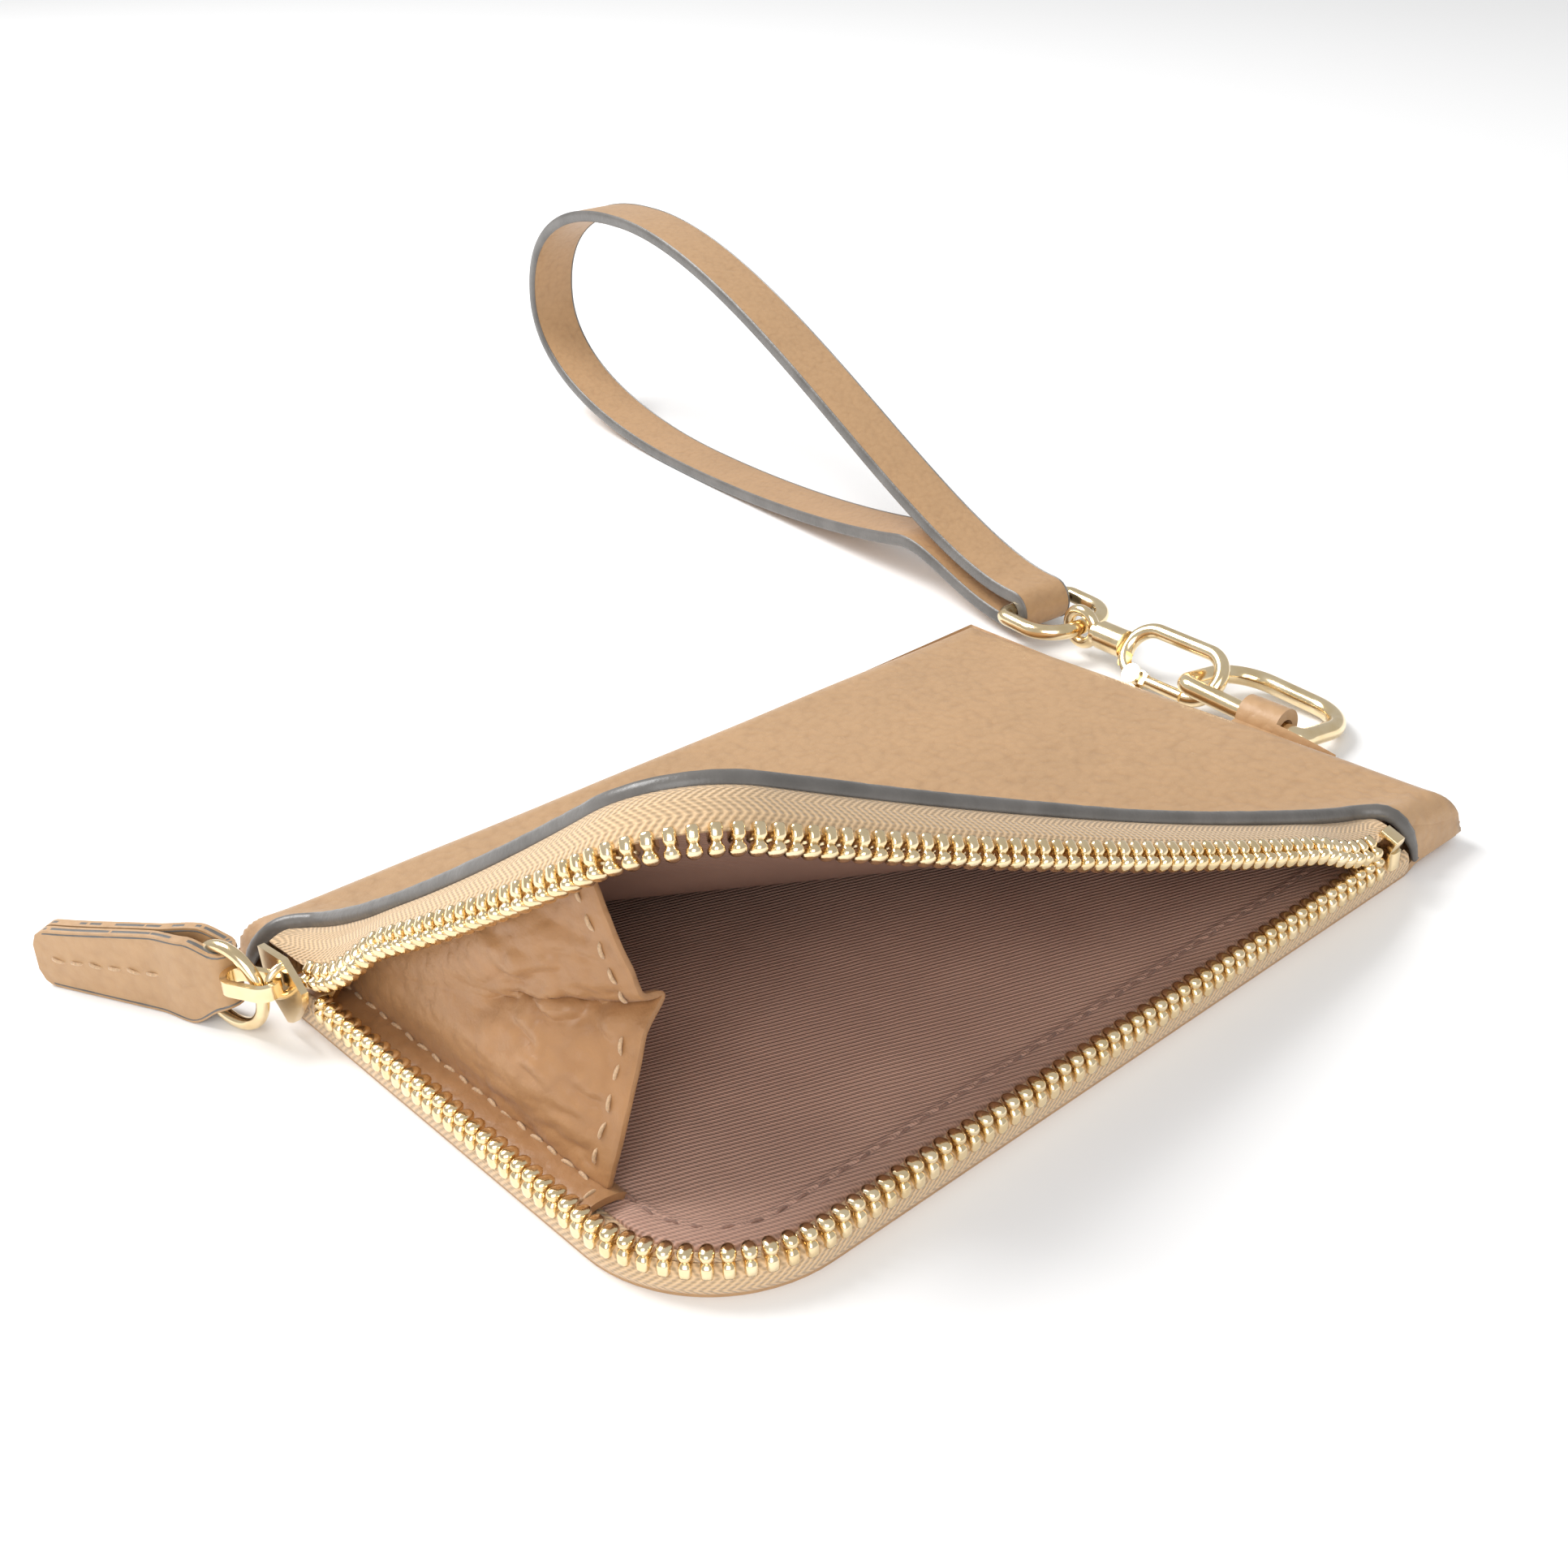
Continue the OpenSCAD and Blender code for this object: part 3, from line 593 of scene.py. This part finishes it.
inside = skin_pair("front_inner", front_grid(-1.45, 1.6, 2.4), front_grid(-1.95, 1.6, 2.4), INNER_CLOTH)
bends(inside, "lining", "front_lining", "flap_lining")

# ---- the cut edge, the upper tape and its teeth ----


def cut_path(step=0.7):
    """Flat points along the cut edge, from the slider's end round the corner, with the way out at each."""
    out = []
    y = ZIP_FROM + 6
    while y > ROUND:
        out.append((cut_x(y), y, -1.0, 0.0))
        y -= step
    r = ROUND - CUT_INSET
    turns = int(r * math.pi / 2 / step)
    for k in range(turns + 1):
        a = math.pi / 2 * k / turns
        out.append((ROUND - r * math.cos(a), ROUND - r * math.sin(a), -math.cos(a), -math.sin(a)))
    x = ROUND + step
    while x < ZIP_TO + 3:
        out.append((x, cut_y(x), 0.0, -1.0))
        x += step
    return out


CUT = cut_path()


def tangents(points):
    n = len(points)
    return [(points[min(i + 1, n - 1)] - points[max(i - 1, 0)]).normalized() for i in range(n)]


cut_points = [front_skin(x, y, -LEATHER * 0.5) for x, y, _, _ in CUT]
cut_ways = tangents(cut_points)


def bead(name, points, ways, ups, half_high, half_wide, material, sides=12):
    """A rounded painted edge along points."""
    rings = []
    for k, (p, way, up) in enumerate(zip(points, ways, ups)):
        side = way.cross(up).normalized()
        top = side.cross(way).normalized()
        ends = min(1.0, 0.25 + min(k, len(points) - 1 - k) * 0.25)
        ring = []
        for i in range(sides):
            a = 2 * math.pi * i / sides
            swell = 1 + 0.05 * noise.noise(p * 0.6)
            ring.append(p + (side * math.cos(a) * half_wide + top * math.sin(a) * half_high) * swell * ends)
        rings.append(ring)
    return sweep(name, rings, material)


cut_ups = [bent(x, y)[1] for x, y, _, _ in CUT]
edge = bead("front_cut_edge", cut_points, cut_ways, cut_ups, 1.05, 0.85, PAINT)
bends(edge, "edge_paint", "flap_edge")

TAPE_DROP = 6.25  # from the cut edge to the middle of the teeth


def drop_frame(x, y, ox, oy):
    """Cut-edge point, where the middle of the tooth hangs, and the tape's knee between them."""
    edge_point, normal = bent(x, y, -LEATHER)
    beyond = bent(x + ox, y + oy, -LEATHER)[0]
    out = (beyond - edge_point).normalized()
    d = max(0.0, (Vector((x, y)) - MIDDLE).dot(TO_CORNER))
    turn = math.radians(32 + 56 * d / 70)
    hang = edge_point + TAPE_DROP * (math.cos(turn) * out - math.sin(turn) * normal)
    knee = edge_point + out * 1.6
    return edge_point, hang, knee, out, normal


def along_outline(x, y, ox, oy):
    """The point of the zip's own path nearest to a cut-edge point."""
    if oy == 0:
        return Vector((ZIP_C, y))
    if ox == 0:
        return Vector((x, ZIP_C))
    r = ROUND - ZIP_C
    return Vector((ROUND + ox * r, ROUND + oy * r))


hang_points, tape_rows, tape_uv, hang_dirs, zip_marks = [], [], [], [], []
run = 0.0
for k, (x, y, ox, oy) in enumerate(CUT):
    if y > ZIP_FROM or x > ZIP_TO - 2.5:
        continue
    start, hang, knee, out, normal = drop_frame(x, y, ox, oy)
    near = max(smooth((y - 56) / 20), smooth((x - 101) / 15))
    flat = along_outline(x, y, ox, oy)
    meet = Vector((flat.x, flat.y, LOWER_FOOT + TOOTH_H + 1.2))
    hang = hang.lerp(meet, near)
    knee = knee.lerp((start + hang) / 2 + Vector((0, 0, 0.9)), near)
    root = start - out * 2.0 - normal * 0.35
    row = []
    length = (hang - start).length
    for i in range(9):
        t = i / 8
        if i < 2:
            p = root.lerp(start - normal * 0.35, i)
        else:
            s = (i - 1) / 7 * 0.9
            p = (start - normal * 0.35) * (1 - s) ** 2 + knee * 2 * s * (1 - s) + hang * s * s
        row.append(p)
    if hang_points:
        run += (hang - hang_points[-1]).length
    tape_rows.append(row)
    tape_uv.append([(run, (length + 2) * i / 8) for i in range(9)])
    hang_points.append(hang)
    hang_dirs.append((row[-1] - row[-2]).normalized())
    zip_marks.append((x, y))

upper_tape = thick("upper_zip_tape", tape_rows, 0.6, TAPE, tape_uv)
bends(upper_tape, "tape", "upper_tape")

TOOTH_GROW = 1.22
TOOTH_RINGS = [
    (0.0, 0.95, 0.42, 4.0), (0.1, 1.25, 0.62, 4.5), (0.35, 1.32, 0.68, 4.5), (1.1, 1.32, 0.68, 4.5),
    (1.32, 1.2, 0.62, 3.4), (1.5, 0.92, 0.52, 2.6), (1.68, 1.0, 0.66, 2.2), (1.95, 1.2, 0.86, 2.2),
    (2.25, 1.2, 0.86, 2.2), (2.48, 0.98, 0.7, 2.1), (2.62, 0.62, 0.44, 2.0), (2.66, 0.3, 0.22, 2.0),
]


def teeth(name, points, dirs, lengthways, material):
    verts, faces = [], []
    for p, up, way in zip(points, dirs, lengthways):
        place = facing_matrix(p + up * (TOOTH_H / 2 - TOOTH_H * TOOTH_GROW), way, up)
        blob(verts, faces, place, [(z * TOOTH_GROW, rx, ry, power) for z, rx, ry, power in TOOTH_RINGS])
    return make(name, verts, faces, material, smooth_angle=60)


def resample(points, dirs, pitch):
    """Points a pitch apart along a line, with the direction and the way along at each."""
    out, carried = [], pitch / 2
    for i in range(len(points) - 1):
        a, b = points[i], points[i + 1]
        span = (b - a).length
        while carried <= span:
            t = carried / span
            out.append((a.lerp(b, t), dirs[i].lerp(dirs[i + 1], t).normalized(), (b - a).normalized()))
            carried += pitch
        carried -= span
    return out


in_row = [k for k, (x, y) in enumerate(zip_marks) if y < ROW_START + 3 and x < ROW_END]
placed = resample([hang_points[k] for k in in_row], [hang_dirs[k] for k in in_row], PITCH)
upper = teeth("upper_zip_teeth", *zip(*placed), GOLD)
bends(upper, "teeth", "upper_teeth")

STOP_RINGS = [(-0.2, 0.9, 0.8, 4.0), (0.0, 1.35, 1.15, 4.0), (2.5, 1.35, 1.15, 4.0), (2.7, 0.95, 0.8, 4.0)]


def end_stop(name, p, up, way):
    verts, faces = [], []
    blob(verts, faces, facing_matrix(p - up * TOOTH_H / 2, way, up), STOP_RINGS, 16)
    return make(name, verts, faces, GOLD, smooth_angle=50)


last_tooth = max(in_row)
after = min(last_tooth + 3, len(hang_points) - 1)
way = (hang_points[after] - hang_points[last_tooth]).normalized()
stop = end_stop("upper_zip_stop", hang_points[after], hang_dirs[after], way)
bends(stop, "hardware", "upper_stop")

# ---- back leather and the lower half of the zip ----


def back_grid(z_in, z_edge, inset, step=2.4):
    rows = []
    for u in spread(0, LENGTH, step):
        row = []
        for v in spread(0, WIDTH, step):
            x = inset + (LENGTH - inset) * u / LENGTH
            y = inset + (WIDTH - inset) * v / WIDTH
            x, y = rounded(x, y, inset)
            lift = 0.0
            for gap in (LENGTH - x, WIDTH - y):
                t = min(1.0, max(0.0, gap / 3.2))
                lift = max(lift, 1 - math.sqrt(max(0.0, 1 - (1 - t) ** 2)))
            for gap, along in ((x, y - ZIP_FROM - 1), (y, x - ZIP_TO - 1)):
                t = min(1.0, max(0.0, gap / 3.2))
                hem = (1 - math.sqrt(max(0.0, 1 - (1 - t) ** 2))) * smooth(along / 2)
                lift = max(lift, hem)
            row.append(Vector((x, y, mix(z_in, z_edge, lift))))
        rows.append(row)
    return rows


back = skin_pair("back_leather", back_grid(LEATHER, 3.1, 0.25), back_grid(0.02, 1.7, 0.25), TAN)
rides(back, "pouch", "leather", "back_panel")


def zip_path(inset, y_from, x_to, step=0.7):
    """Points and the way in, along the zipped sides at an inset from the outline."""
    r = ROUND - inset
    out, y = [], y_from
    while y > ROUND:
        out.append((Vector((inset, y)), Vector((1.0, 0.0))))
        y -= step
    turns = int(r * math.pi / 2 / step)
    for k in range(turns + 1):
        a = math.pi / 2 * k / turns
        inward = Vector((math.cos(a), math.sin(a)))
        out.append((Vector((ROUND, ROUND)) - inward * r, inward))
    x = ROUND + step
    while x < x_to:
        out.append((Vector((x, inset)), Vector((0.0, 1.0))))
        x += step
    return out


# The tape's section: in from the outline, and height, from under the lining to the foot of the outside
TAPE_SECTION = [
    (5.6, 1.8), (4.0, 1.9), (3.0, 2.05), (2.2, 2.4), (1.6, 2.9), (1.1, 3.5), (0.6, 3.9),
    (0.15, 3.6), (-0.05, 2.9), (-0.1, 2.1), (0.0, 1.3), (0.3, 0.7), (0.9, 0.35),
]
rows, uvs, run, last = [], [], 0.0, None
for p, inward in zip_path(0.0, ZIP_FROM, ZIP_TO):
    run += (p - last).length if last else 0.0
    last = p
    row, uv, across = [], [], 0.0
    for k, (dx, z) in enumerate(TAPE_SECTION):
        if k:
            a = TAPE_SECTION[k - 1]
            across += math.hypot(dx - a[0], z - a[1])
        q = p + inward * dx
        row.append(Vector((q.x, q.y, z)))
        uv.append((run, across))
    rows.append(row)
    uvs.append(uv)
lower_tape = thick("lower_zip_tape", rows, 0.5, TAPE, uvs)
rides(lower_tape, "pouch", "tape", "lower_tape")

lower_line = zip_path(ZIP_C, ROW_START, ROW_END, 0.35)
UP = Vector((0, 0, 1))
lower_points = [Vector((p.x, p.y, LOWER_FOOT + TOOTH_H / 2)) for p, _ in lower_line]
placed = resample(lower_points, [UP] * len(lower_points), PITCH)
lower = teeth("lower_zip_teeth", *zip(*placed), GOLD)
rides(lower, "pouch", "teeth", "lower_teeth")
end = lower_points[-1] + Vector((1.9, 0, 0))
stop = end_stop("lower_zip_stop", end, UP, Vector((1, 0, 0)))
rides(stop, "pouch", "hardware", "lower_stop")

# ---- lining, facing and gusset ----


LINING_INSET = 4.3  # how far the lining's edge lies inside the outline
LINING_FROM_X = 4.6  # its edge beside the slider's end, under the facing
LINING_STITCH_IN = 3.2  # its stitch row, in from its own edge


def lining_grid(top):
    rows = []
    for u in spread(0, LENGTH - LINING_INSET - 3, 1.6, 0.35, 5.0):
        row = []
        for v in spread(0, WIDTH - LINING_INSET - 3, 1.6, 0.35, 5.0):
            x, y = rounded(LINING_INSET + u, LINING_INSET + v, LINING_INSET)
            x = max(x, LINING_FROM_X)
            gap = y - LINING_INSET
            if x < ROUND and y < ROUND:
                gap = ROUND - LINING_INSET - math.hypot(x - ROUND, y - ROUND)
            hem = smooth((4.4 - gap) / 0.9) * smooth(gap / 0.5)
            seam = math.exp(-(((gap - LINING_STITCH_IN) / 0.28) ** 2))
            wave = 0.22 * noise.noise(Vector((x * 0.06, y * 0.11, 5.0)))
            wave += 0.1 * noise.noise(Vector((x * 0.3, y * 0.3, 1)))
            z = 2.2 + wave + 0.5 * hem - 0.28 * seam
            row.append(Vector((x, y, z if top else 1.55)))
        rows.append(row)
    return rows


lining = skin_pair("back_lining_cloth", lining_grid(True), lining_grid(False), LINING)
rides(lining, "pouch", "lining", "back_lining")

hem_places = []
for k, (p, inward) in enumerate(zip_path(LINING_INSET + LINING_STITCH_IN, 20, ZIP_TO - 3, 0.1)):
    if k % 30 == 0:
        hem_places.append((Vector((p.x, p.y, 2.42)), Vector((inward.y, -inward.x, 0)), UP))
hem_stitch = stitches("lining_stitch_row", hem_places, 2.0, 0.2, LINING_THREAD)
rides(hem_stitch, "pouch", "thread", "lining_stitches")

rows = []
FACING_END = 20.4
# The facing's section: in from the outline, and height
FACING = [
    (1.3, 2.3), (1.7, 2.85), (2.5, 3.2), (3.6, 3.35), (4.8, 3.3),
    (5.6, 3.15), (6.4, 3.0), (7.0, 2.7), (7.3, 2.4),
]
for k in range(70):
    y = mix(ZIP_FROM + 1, FACING_END, k / 69)
    rise = 0.12 * noise.noise(Vector((y * 0.2, 3, 0)))
    rows.append([Vector((x, y, z + rise)) for x, z in FACING])
facing = thick("side_facing_leather", rows, 0.9, INNER)
rides(facing, "pouch", "inner_leather", "side_facing")
places = []
y = ZIP_FROM - 4
while y > FACING_END + 2:
    places.append((Vector((5.3, y, 3.62)), Vector((0, -1, 0)), UP))
    y -= 2.8
for x in (4.0, 2.2):
    places.append((Vector((x, FACING_END + 1.6, 3.68)), Vector((1, 0, 0)), UP))
facing_stitch = stitches("facing_stitch_row", places, 2.1, 0.24, THREAD)
rides(facing_stitch, "pouch", "thread", "facing_stitches")

GUSSET_FROM, GUSSET_TO = 76.0, 21.3


def gusset_point(t, s):
    """t runs from the slider's end to the free edge, s from the back panel to the front panel."""
    y = mix(GUSSET_FROM, GUSSET_TO, t)
    foot = Vector((6.0, y, 3.3))
    head = bent(7.2, y + 0.7 * t, -2.7)[0]
    valley = smooth(t / 0.67)
    poke = smooth((t - 0.66) / 0.34)
    fold = (foot + head) / 2 + Vector((-1.0, -5.0, 2.0)) * valley + Vector((6.5, 2.8, -2.6)) * poke
    if s < 0.5:
        a, b, q = foot, fold, s * 2
    else:
        a, b, q = head, fold, (1 - s) * 2
    bulge = math.sin(q * math.pi) * (1.7 * t + 0.2)
    folded = a.lerp(b, q)
    round_wall = foot * (1 - s) ** 2 + fold * 2 * s * (1 - s) + head * s * s
    p = round_wall.lerp(folded, smooth((t - 0.35) / 0.3)) + Vector((-0.5, -0.6, 0.0)) * bulge
    pinch = smooth((q - 0.7) / 0.3)
    p.z += (fold.z - p.z) * 0.35 * pinch * smooth((t - 0.2) / 0.6)
    deep = smooth((q - 0.55) / 0.4) * smooth((0.95 - t) / 0.2) * smooth((t - 0.4) / 0.25)
    p += Vector((0.95, 0.3, 0.0)) * 2.4 * deep
    crease = noise.noise(Vector((p.x * 0.35, y * 0.22, p.z * 0.5)))
    fine = noise.noise(Vector((p.x * 0.9, y * 0.6, p.z * 1.3 + 7)))
    crumple = smooth((t - 0.45) / 0.2) * smooth((1.0 - t) / 0.12)
    p += Vector((-0.7, -0.4, 0.2)) * (crease + 0.45 * fine) * (0.3 * t + (0.5 + 1.5 * pinch) * crumple)
    fan = math.sin(9 * math.atan2(p.z - fold.z, abs(t - 0.67) * 54 + 3) + 2.5 * crease)
    p += Vector((-0.45, -0.25, 0.1)) * fan * crumple * smooth((q - 0.25) / 0.5)
    tip = smooth((q - 0.86) / 0.14) * smooth((t - 0.86) / 0.14)
    return p + Vector((2.6, 0.8, 0.4)) * tip


GUSSET_N, GUSSET_M = 60, 61
rows = [
    [gusset_point(i / (GUSSET_N - 1), j / (GUSSET_M - 1)) for j in range(GUSSET_M)]
    for i in range(GUSSET_N)
]
gusset = thick("side_gusset", rows, 1.0, INNER)
gusset.modifiers.new("soft", "SUBSURF").levels = 1
gusset.modifiers["soft"].render_levels = 1
rides(gusset, "pouch", "inner_leather", "gusset")
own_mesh(gusset)

places = []
normals = grid_normals(rows)
hem_row = GUSSET_N - 4
line = rows[hem_row]
gap = 0.0
for j in range(1, GUSSET_M - 2):
    gap += (line[j] - line[j - 1]).length
    if gap > 2.7 and abs(j - GUSSET_M // 2) > 3:
        gap = 0.0
        out = normals[hem_row][j]
        out = out if out.dot(Vector((-1, -1, 0))) > 0 else -out
        places.append((line[j] + out * 0.55, (line[j + 1] - line[j - 1]).normalized(), out))
hem_thread = stitches("gusset_stitch_row", places, 2.0, 0.24, THREAD)
rides(hem_thread, "pouch", "thread")
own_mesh(hem_thread)

# ---- pull tab ----

RING_LOW, RING_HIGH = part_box("pull_ring")
TAB_L, TAB_H, TAB_FOLD = 24.0, 12.0, 5.0
TAB_YAW = math.radians(116.5)
PULL_YAW = math.radians(104.6)
PULL_R = 5.3
pull_mid = (RING_LOW + RING_HIGH) / 2 - CORNER
tab_origin = Vector(
    (
        pull_mid.x / MM + PULL_R * math.cos(PULL_YAW),
        pull_mid.y / MM + PULL_R * math.sin(PULL_YAW),
        0,
    )
)
TAB_TURN = Matrix.Translation(tab_origin) @ Matrix.Rotation(TAB_YAW, 4, "Z")


def tab_low(x):
    start = mix(3.2, 0.1, smooth((x + TAB_FOLD) / 6.0))
    end = max(0.0, (x - TAB_L + 2.5) / 2.5)
    return start + 2.2 * (1 - math.sqrt(max(0.0, 1 - end * end)))


def tab_high(x):
    if x < 0:
        top = mix(TAB_H * 0.9, TAB_H, smooth((x + TAB_FOLD) / 5))
    else:
        top = mix(TAB_H, TAB_H * 0.68, smooth(x / TAB_L) * 0.35 + 0.65 * x / TAB_L)
    end = max(0.0, (x - TAB_L + 2.5) / 2.5)
    return top - 2.2 * (1 - math.sqrt(max(0.0, 1 - end * end)))


def tab_route():
    """Plan line of the strip: along one layer, round the ring's wire and back."""
    side = []
    for k in range(41):
        x = mix(TAB_L, -TAB_FOLD + 1.6, k / 40)
        side.append((x, mix(0.8, 1.55, smooth((6.0 - x) / 5.5))))
    turn = []
    for k in range(1, 10):
        a = math.pi * k / 10
        turn.append((-TAB_FOLD + 1.6 - 1.55 * math.sin(a), 1.55 * math.cos(a)))
    return side + turn + [(x, -y) for x, y in reversed(side)]


route = tab_route()
rows = []
for x, y in route:
    low, high = tab_low(x), tab_high(x)
    rows.append([TAB_TURN @ Vector((x, y, mix(low, high, j / 14))) for j in range(15)])
tab = thick("pull_tab_leather", rows, 1.3, TAN)
rides(tab, "tab", "leather", "pull_tab")
for label, pick, up in (("top", 14, 1), ("foot", 0, -1)):
    pts = [r[pick] + Vector((0, 0, -0.4 * up)) for r in rows]
    sides = [Vector((0, 0, up))] * len(pts)
    ends = bead("pull_tab_edge_" + label, pts, tangents(pts), sides, 0.42, 0.72, PAINT, 10)
    rides(ends, "tab", "edge_paint")
places = []
for side in (-1, 1):
    x = 6.0
    while x < TAB_L - 2:
        z = mix(tab_low(x), tab_high(x), 0.5)
        base = TAB_TURN @ Vector((x, side * (mix(0.8, 1.55, smooth((6.0 - x) / 5.5)) + 0.66), z))
        way = TAB_TURN.to_3x3() @ Vector((1, 0, 0.06))
        places.append((base, way, TAB_TURN.to_3x3() @ Vector((0, side, 0))))
        x += 2.9
tab_thread = stitches("pull_tab_stitch_row", places, 2.1, 0.24, THREAD)
rides(tab_thread, "tab", "thread", "pull_tab_stitches")

# ---- wrist strap ----

STRAP_JOINT = next(j for j in frame["joints"] if j["name"] == "strap_swing")
BAR = (Vector(STRAP_JOINT["pos_m"]) - CORNER) / MM
STRAP_DIR = Vector((-STRAP_JOINT["axis"][1], STRAP_JOINT["axis"][0], 0)).normalized()
STRAP_SIDE = Vector((STRAP_DIR.y, -STRAP_DIR.x, 0))
STRAP_W, STRAP_T, STRAP_RISE, STRAP_REACH = 10.0, 2.2, 48.0, 160.5
WIRE_R = 1.25


def bezier(a, b, c, d, steps):
    out = []
    for i in range(steps):
        t = i / steps
        w = ((1 - t) ** 3, 3 * t * (1 - t) ** 2, 3 * t * t * (1 - t), t**3)
        out.append(tuple(sum(k * p[axis] for k, p in zip(w, (a, b, c, d))) for axis in (0, 1)))
    return out


def strap_line():
    """Centre line of the strap in its upright plane, from over the D-ring's bar and round to it again."""
    h, reach = STRAP_RISE, STRAP_REACH
    fold = WIRE_R + 0.12 + STRAP_T / 2
    low = STRAP_T / 2 + 0.1
    top, end = (reach * 0.76, h - STRAP_T / 2), (reach - STRAP_T / 2, h * 0.48)
    floor, neck, over, under = (reach * 0.64, low), (reach * 0.19, 8), (0, BAR.z + fold), (0, BAR.z - fold)
    line = bezier(over, (reach * 0.175, BAR.z + 1.6), (reach * 0.48, h + 1), top, 60)
    line += bezier(top, (reach * 0.9, h - 1.6), (reach - STRAP_T / 2, h * 0.78), end, 30)
    line += bezier(end, (reach - STRAP_T / 2, h * 0.16), (reach * 0.82, low), floor, 30)
    line += bezier(floor, (reach * 0.44, low), (reach * 0.28, 4.6), neck, 30)
    line += bezier(neck, (reach * 0.14, 9.6), (reach * 0.09, under[1]), under, 30)
    for i in range(12):
        a = math.pi * i / 12
        line.append((-fold * math.sin(a), BAR.z - fold * math.cos(a)))
    return [Vector((BAR.x, BAR.y, 0)) + STRAP_DIR * x + Vector((0, 0, z)) for x, z in line]


line = strap_line()
count = len(line)
ways = [(line[(i + 1) % count] - line[i - 1]).normalized() for i in range(count)]
ups = [STRAP_SIDE.cross(w).normalized() for w in ways]
half = STRAP_W / 2 - 0.35


def strap_section(p, up):
    """A flat strip, a little crowned on both faces."""
    ring = []
    for face in (1, -1):
        for k in range(9):
            s = (k / 8 * 2 - 1) * -face
            h = STRAP_T / 2 - 0.12 * s**4 - 0.05 * (1 - s * s)
            ring.append(p + STRAP_SIDE * s * half + up * h * face)
    return ring


strap = sweep("strap_leather_loop", [strap_section(p, u) for p, u in zip(line, ups)], STRAP_TAN, closed=True)
rides(strap, "strap", "leather", "wrist_strap")
for label, sign in (("near", 1), ("far", -1)):
    rings = []
    for p, u in zip(line, ups):
        c = p + STRAP_SIDE * sign * half
        rings.append(
            [
                c + STRAP_SIDE * math.cos(a) * 0.42 + u * math.sin(a) * 1.1
                for a in [2 * math.pi * k / 12 for k in range(12)]
            ]
        )
    strip = sweep("strap_edge_" + label, rings, PAINT, closed=True)
    rides(strip, "strap", "edge_paint", "strap_edges")

# ---- metal and small leather nodes kept from the frame ----


def finish_node(node, material, bevel=0.0):
    obj = frame["nodes"][node]
    obj.data.materials.clear()
    obj.data.materials.append(material)
    if bevel:
        mod = obj.modifiers.new("soft", "BEVEL")
        mod.width = bevel * MM
        mod.segments = 2
        mod.limit_method = "ANGLE"


METAL_NODES = (
    "slider_bail", "pull_ring", "key_ring", "hook_frame", "gate_pin", "hook_gate", "swivel_eye", "d_ring",
)
for node in METAL_NODES:
    finish_node(node, GOLD)
for node in ("slider_body", "pull_link"):
    finish_node(node, GOLD, 0.15)
finish_node("ring_tab", TAN, 0.4)
finish_node("ring_tab_stitches", THREAD)

# ---- room, lights and camera ----

FLOOR_HALF = 3.0
mesh = bpy.data.meshes.new("floor")
low = CAD_BOX[0].z
corners = [(-1, -1), (1, -1), (1, 1), (-1, 1)]
mesh.from_pydata([(FLOOR_HALF * i, FLOOR_HALF * j, low) for i, j in corners], [], [(0, 1, 2, 3)])
floor = bpy.data.objects.new("floor", mesh)
bpy.context.collection.objects.link(floor)
mat, tree, bsdf = shader("pale_floor", 0.9)
bsdf.inputs["Base Color"].default_value = (0.93, 0.93, 0.93, 1)
mesh.materials.append(mat)

world = bpy.data.worlds.new("studio")
bpy.context.scene.world = world
world.use_nodes = True
world.node_tree.nodes["Background"].inputs["Color"].default_value = (1, 1, 1, 1)
world.node_tree.nodes["Background"].inputs["Strength"].default_value = 0.55


def lamp(name, where, target, size, power):
    light = bpy.data.lights.new(name, "AREA")
    light.size = size
    light.energy = power
    obj = bpy.data.objects.new(name, light)
    obj.location = where
    obj.rotation_euler = (Vector(target) - Vector(where)).to_track_quat("-Z", "Y").to_euler()
    bpy.context.collection.objects.link(obj)


lamp("key", (-0.25, 0.55, 0.75), (0, -0.05, 0), 0.5, 9.5)
lamp("fill", (-0.6, -0.6, 0.5), (0, -0.05, 0), 0.7, 5.0)

# Camera fitted to the photograph: its place in the pouch's frame, and its turns
CAMERA_AT = (-80.996, -108.314, 139.159)
VIEW_PITCH, VIEW_YAW, VIEW_ROLL = (math.radians(a) for a in (29.582, 48.916, -2.0005))
ahead = Vector(
    (
        math.cos(VIEW_YAW) * math.cos(VIEW_PITCH),
        math.sin(VIEW_YAW) * math.cos(VIEW_PITCH),
        -math.sin(VIEW_PITCH),
    )
)
level = Vector((math.sin(VIEW_YAW), -math.cos(VIEW_YAW), 0))
above = level.cross(ahead)
right = level * math.cos(VIEW_ROLL) + above * math.sin(VIEW_ROLL)
upward = above * math.cos(VIEW_ROLL) - level * math.sin(VIEW_ROLL)
lens = bpy.data.cameras.new("camera")
lens.sensor_width = 36
lens.lens = 44.58
camera = bpy.data.objects.new("camera", lens)
turned = Matrix((right, upward, -ahead)).transposed().to_4x4()
camera.matrix_world = Matrix.Translation(at(CAMERA_AT)) @ turned
bpy.context.collection.objects.link(camera)
bpy.context.scene.camera = camera
bpy.context.scene.view_settings.view_transform = "Standard"
